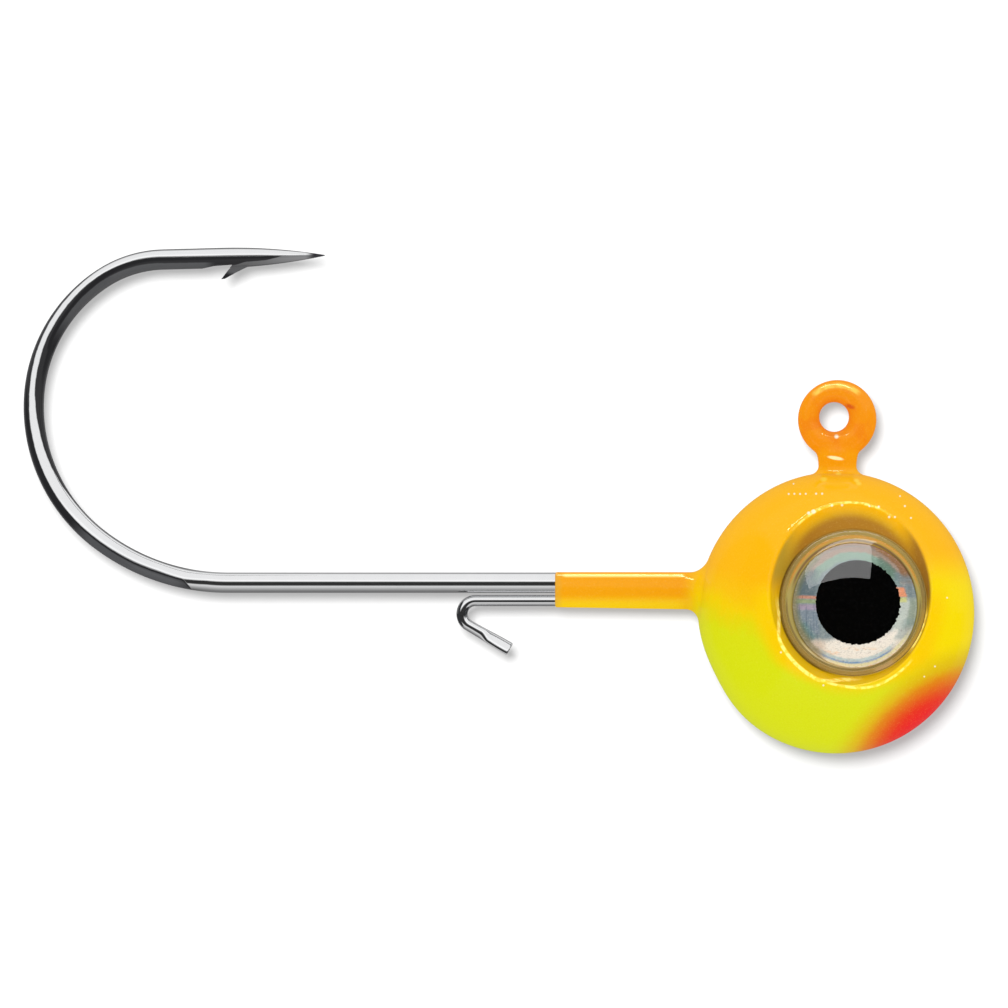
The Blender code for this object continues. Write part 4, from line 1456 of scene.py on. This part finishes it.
def build_world():
    """White to the camera, soft ambient light, and a studio seen only in reflections."""
    world = bpy.data.worlds.new("studio")
    bpy.context.scene.world = world
    world.use_nodes = True
    graph = Graph(world.node_tree)
    dx, dy, dz = graph.node("TexCoord", {}, out="Generated").parts()
    around = dz.angle(dy * -1.0)
    stops = []
    for degrees, value in STUDIO_GREYS:
        level = rgb(value, value, value)[0] / 0.90
        stops.append((degrees / 360.0 + 0.5, (level, level, level)))
    studio = around.scaled(1.0 / 360.0, plus=0.5).ramp(stops)
    # dark side walls
    wider = around.fade(24.0, to=42.0) * 0.26
    front_wall = (dx - wider).fade(0.72, to=0.62)
    rear_wall = dx.fade(-0.74, to=-0.64)
    behind = around.fade(95.0, to=130.0)
    clear = (front_wall * rear_wall).max(behind * 0.4)
    studio = clear.blend((0.030, 0.031, 0.033), studio)
    # ambient light, a little brighter from above
    level = dz.scaled(0.03, plus=1.04)
    seen = Layers(graph.vector(x=level, y=level, z=level))
    camera_ray = graph.node("LightPath", {}, out="Is Camera Ray")

    def reflected(kind):
        return camera_ray.other(kind) * (1.0 - camera_ray.other("Is Transmission Ray"))

    seen.lay(reflected("Is Glossy Ray"), studio)
    seen.lay(reflected("Is Singular Ray"), (0.0, 0.0, 0.0))
    seen.lay(camera_ray, (1.0, 1.0, 1.0))
    graph.finish(graph.node("Background", {"Color": seen.colour}), kind="World")
    world.cycles.sampling_method = "MANUAL"
    world.cycles.sample_map_resolution = 512


# ---------------------------------------------------------------------- lights

def direction(elevation, lateral=0.0):
    """Unit vector at degrees above -Y, with lateral as its part along X."""
    angle = math.radians(elevation)
    rest = math.sqrt(1.0 - lateral * lateral)
    return Vector((lateral, -math.cos(angle) * rest, math.sin(angle) * rest))


def group(name, *objs):
    coll = bpy.data.collections.new(name)
    for obj in objs:
        coll.objects.link(obj)
    return coll


def add_light(name, data, toward, receivers):
    """A light that shines from the direction toward, on its receivers only."""
    obj = place(name, data)
    obj.rotation_mode = "QUATERNION"
    obj.rotation_quaternion = (-toward).to_track_quat("-Z", "Y")
    obj.light_linking.receiver_collection = receivers
    return obj


def area(name, aim, toward, dist, size_x, size_y, radiance, receivers, shift=0.0):
    """Soft box seen only in reflections; shift moves it along its own X."""
    data = bpy.data.lights.new(name, "AREA")
    data.shape = "RECTANGLE"
    data.size, data.size_y = size_x, size_y
    data.energy = radiance * math.pi * size_x * size_y
    obj = add_light(name, data, toward, receivers)
    side = obj.rotation_quaternion @ Vector((1.0, 0.0, 0.0))
    obj.location = aim + toward * dist + side * shift
    hide_from(obj, "diffuse", "camera", "transmission")
    return data


def sun(name, toward, strength, angle, receivers):
    data = bpy.data.lights.new(name, "SUN")
    data.energy = strength
    data.angle = math.radians(angle)
    add_light(name, data, Vector(toward).normalized(), receivers)


build_world()
centre_m = Vector([float(v) * MM for v in CENTRE])
paint_only = group("paint receivers", coat)
lens_only = group("lens receivers", *lenses)
strip = area("strip_top", centre_m, direction(75.0, lateral=-0.071), dist=0.20,
             size_x=0.183, size_y=0.032, radiance=34.0, receivers=paint_only)
strip.color = (1.0, 0.90, 0.62)
window_way = direction(57.5)
for label, side in EYES:
    eye = centre_m + Vector((EYE_X * MM, side * 4.6 * MM, EYE_Z * MM))
    toward = Vector((window_way.x, -side * window_way.y, window_way.z))
    area(f"window_{label}", eye, toward, dist=0.15, size_x=0.2925, size_y=0.19,
         radiance=3.7, receivers=lens_only, shift=side * 0.0938)


# ------------------------------------------------------------- card and floor

def stage_plane(name, verts, mat):
    mesh = bpy.data.meshes.new(name)
    mesh.from_pydata(verts, [], [(0, 1, 2, 3)])
    obj = place(name, mesh)
    mesh.materials.append(mat)
    obj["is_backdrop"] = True
    hide_from(obj, "diffuse", "glossy", "transmission", "shadow")
    return obj


def square(half):
    return [(-half, -half), (half, -half), (half, half), (-half, half)]


def card_material(name, shown):
    """White card, clear except where shown(view height, square on) is 1."""
    mat, graph = new_material(name)
    _, view_y, view_z = graph.node("NewGeometry", {}, out="Incoming").parts()
    square_on = (view_y * -1.0).fade(math.cos(math.radians(6.0)), to=math.cos(math.radians(4.0)))
    fac = shown(view_z, square_on)
    clear = graph.node("BsdfTransparent", {})
    # a steady base plus what the key light adds, so that its shadow stays neutral
    diffuse = graph.node("BsdfDiffuse", {"Color": (0.1, 0.1, 0.1)})
    glow = graph.node("Emission", {"Strength": 0.40})
    pale = graph.node("AddShader", {0: diffuse, 1: glow})
    graph.finish(graph.node("MixShader", {0: fac, 1: clear, 2: pale}))
    return mat


# the card shows only when looked at square on, the floor only from above otherwise
card_mat = card_material("backdrop_card", lambda view_z, square_on: square_on)
card_y = 1.60 * MM
card = stage_plane("backdrop_card", [(x, card_y, z) for x, z in square(0.2)], card_mat)
floor_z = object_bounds()[0].z - 0.2 * MM
floor_mat = card_material(
    "pale_floor", lambda view_z, square_on: view_z.fade(0.01, to=0.05) * (1.0 - square_on))
floor = stage_plane("floor", [(x, y, floor_z) for x, y in square(0.6)], floor_mat)

sun("card_key", (-0.129, -1.0, 0.194), strength=20.5, angle=18,
    receivers=group("card receivers", card))
sun("floor_key", (-0.35, -0.45, 1.0), strength=23.2, angle=50,
    receivers=group("floor receivers", floor))


# ------------------------------------------------------------ camera and output

VIEW_WIDTH = 41.5498763
cam_data = bpy.data.cameras.new("camera")
cam = place("camera", cam_data)
cam_data.type = "ORTHO"
cam_data.ortho_scale = VIEW_WIDTH * MM
cam.location = centre_m + Vector((-13.6851 * MM, -0.20, 4.4848 * MM))
cam.rotation_euler = (math.pi / 2, 0.0, 0.0)
cam_data.clip_start, cam_data.clip_end = 0.001, 2.0

scene = bpy.context.scene
scene.camera = cam
scene.view_settings.view_transform = "Standard"
scene.view_settings.look = "None"
scene.view_settings.exposure = 0.0
scene.view_settings.gamma = 1.0
scene.render.film_transparent = False
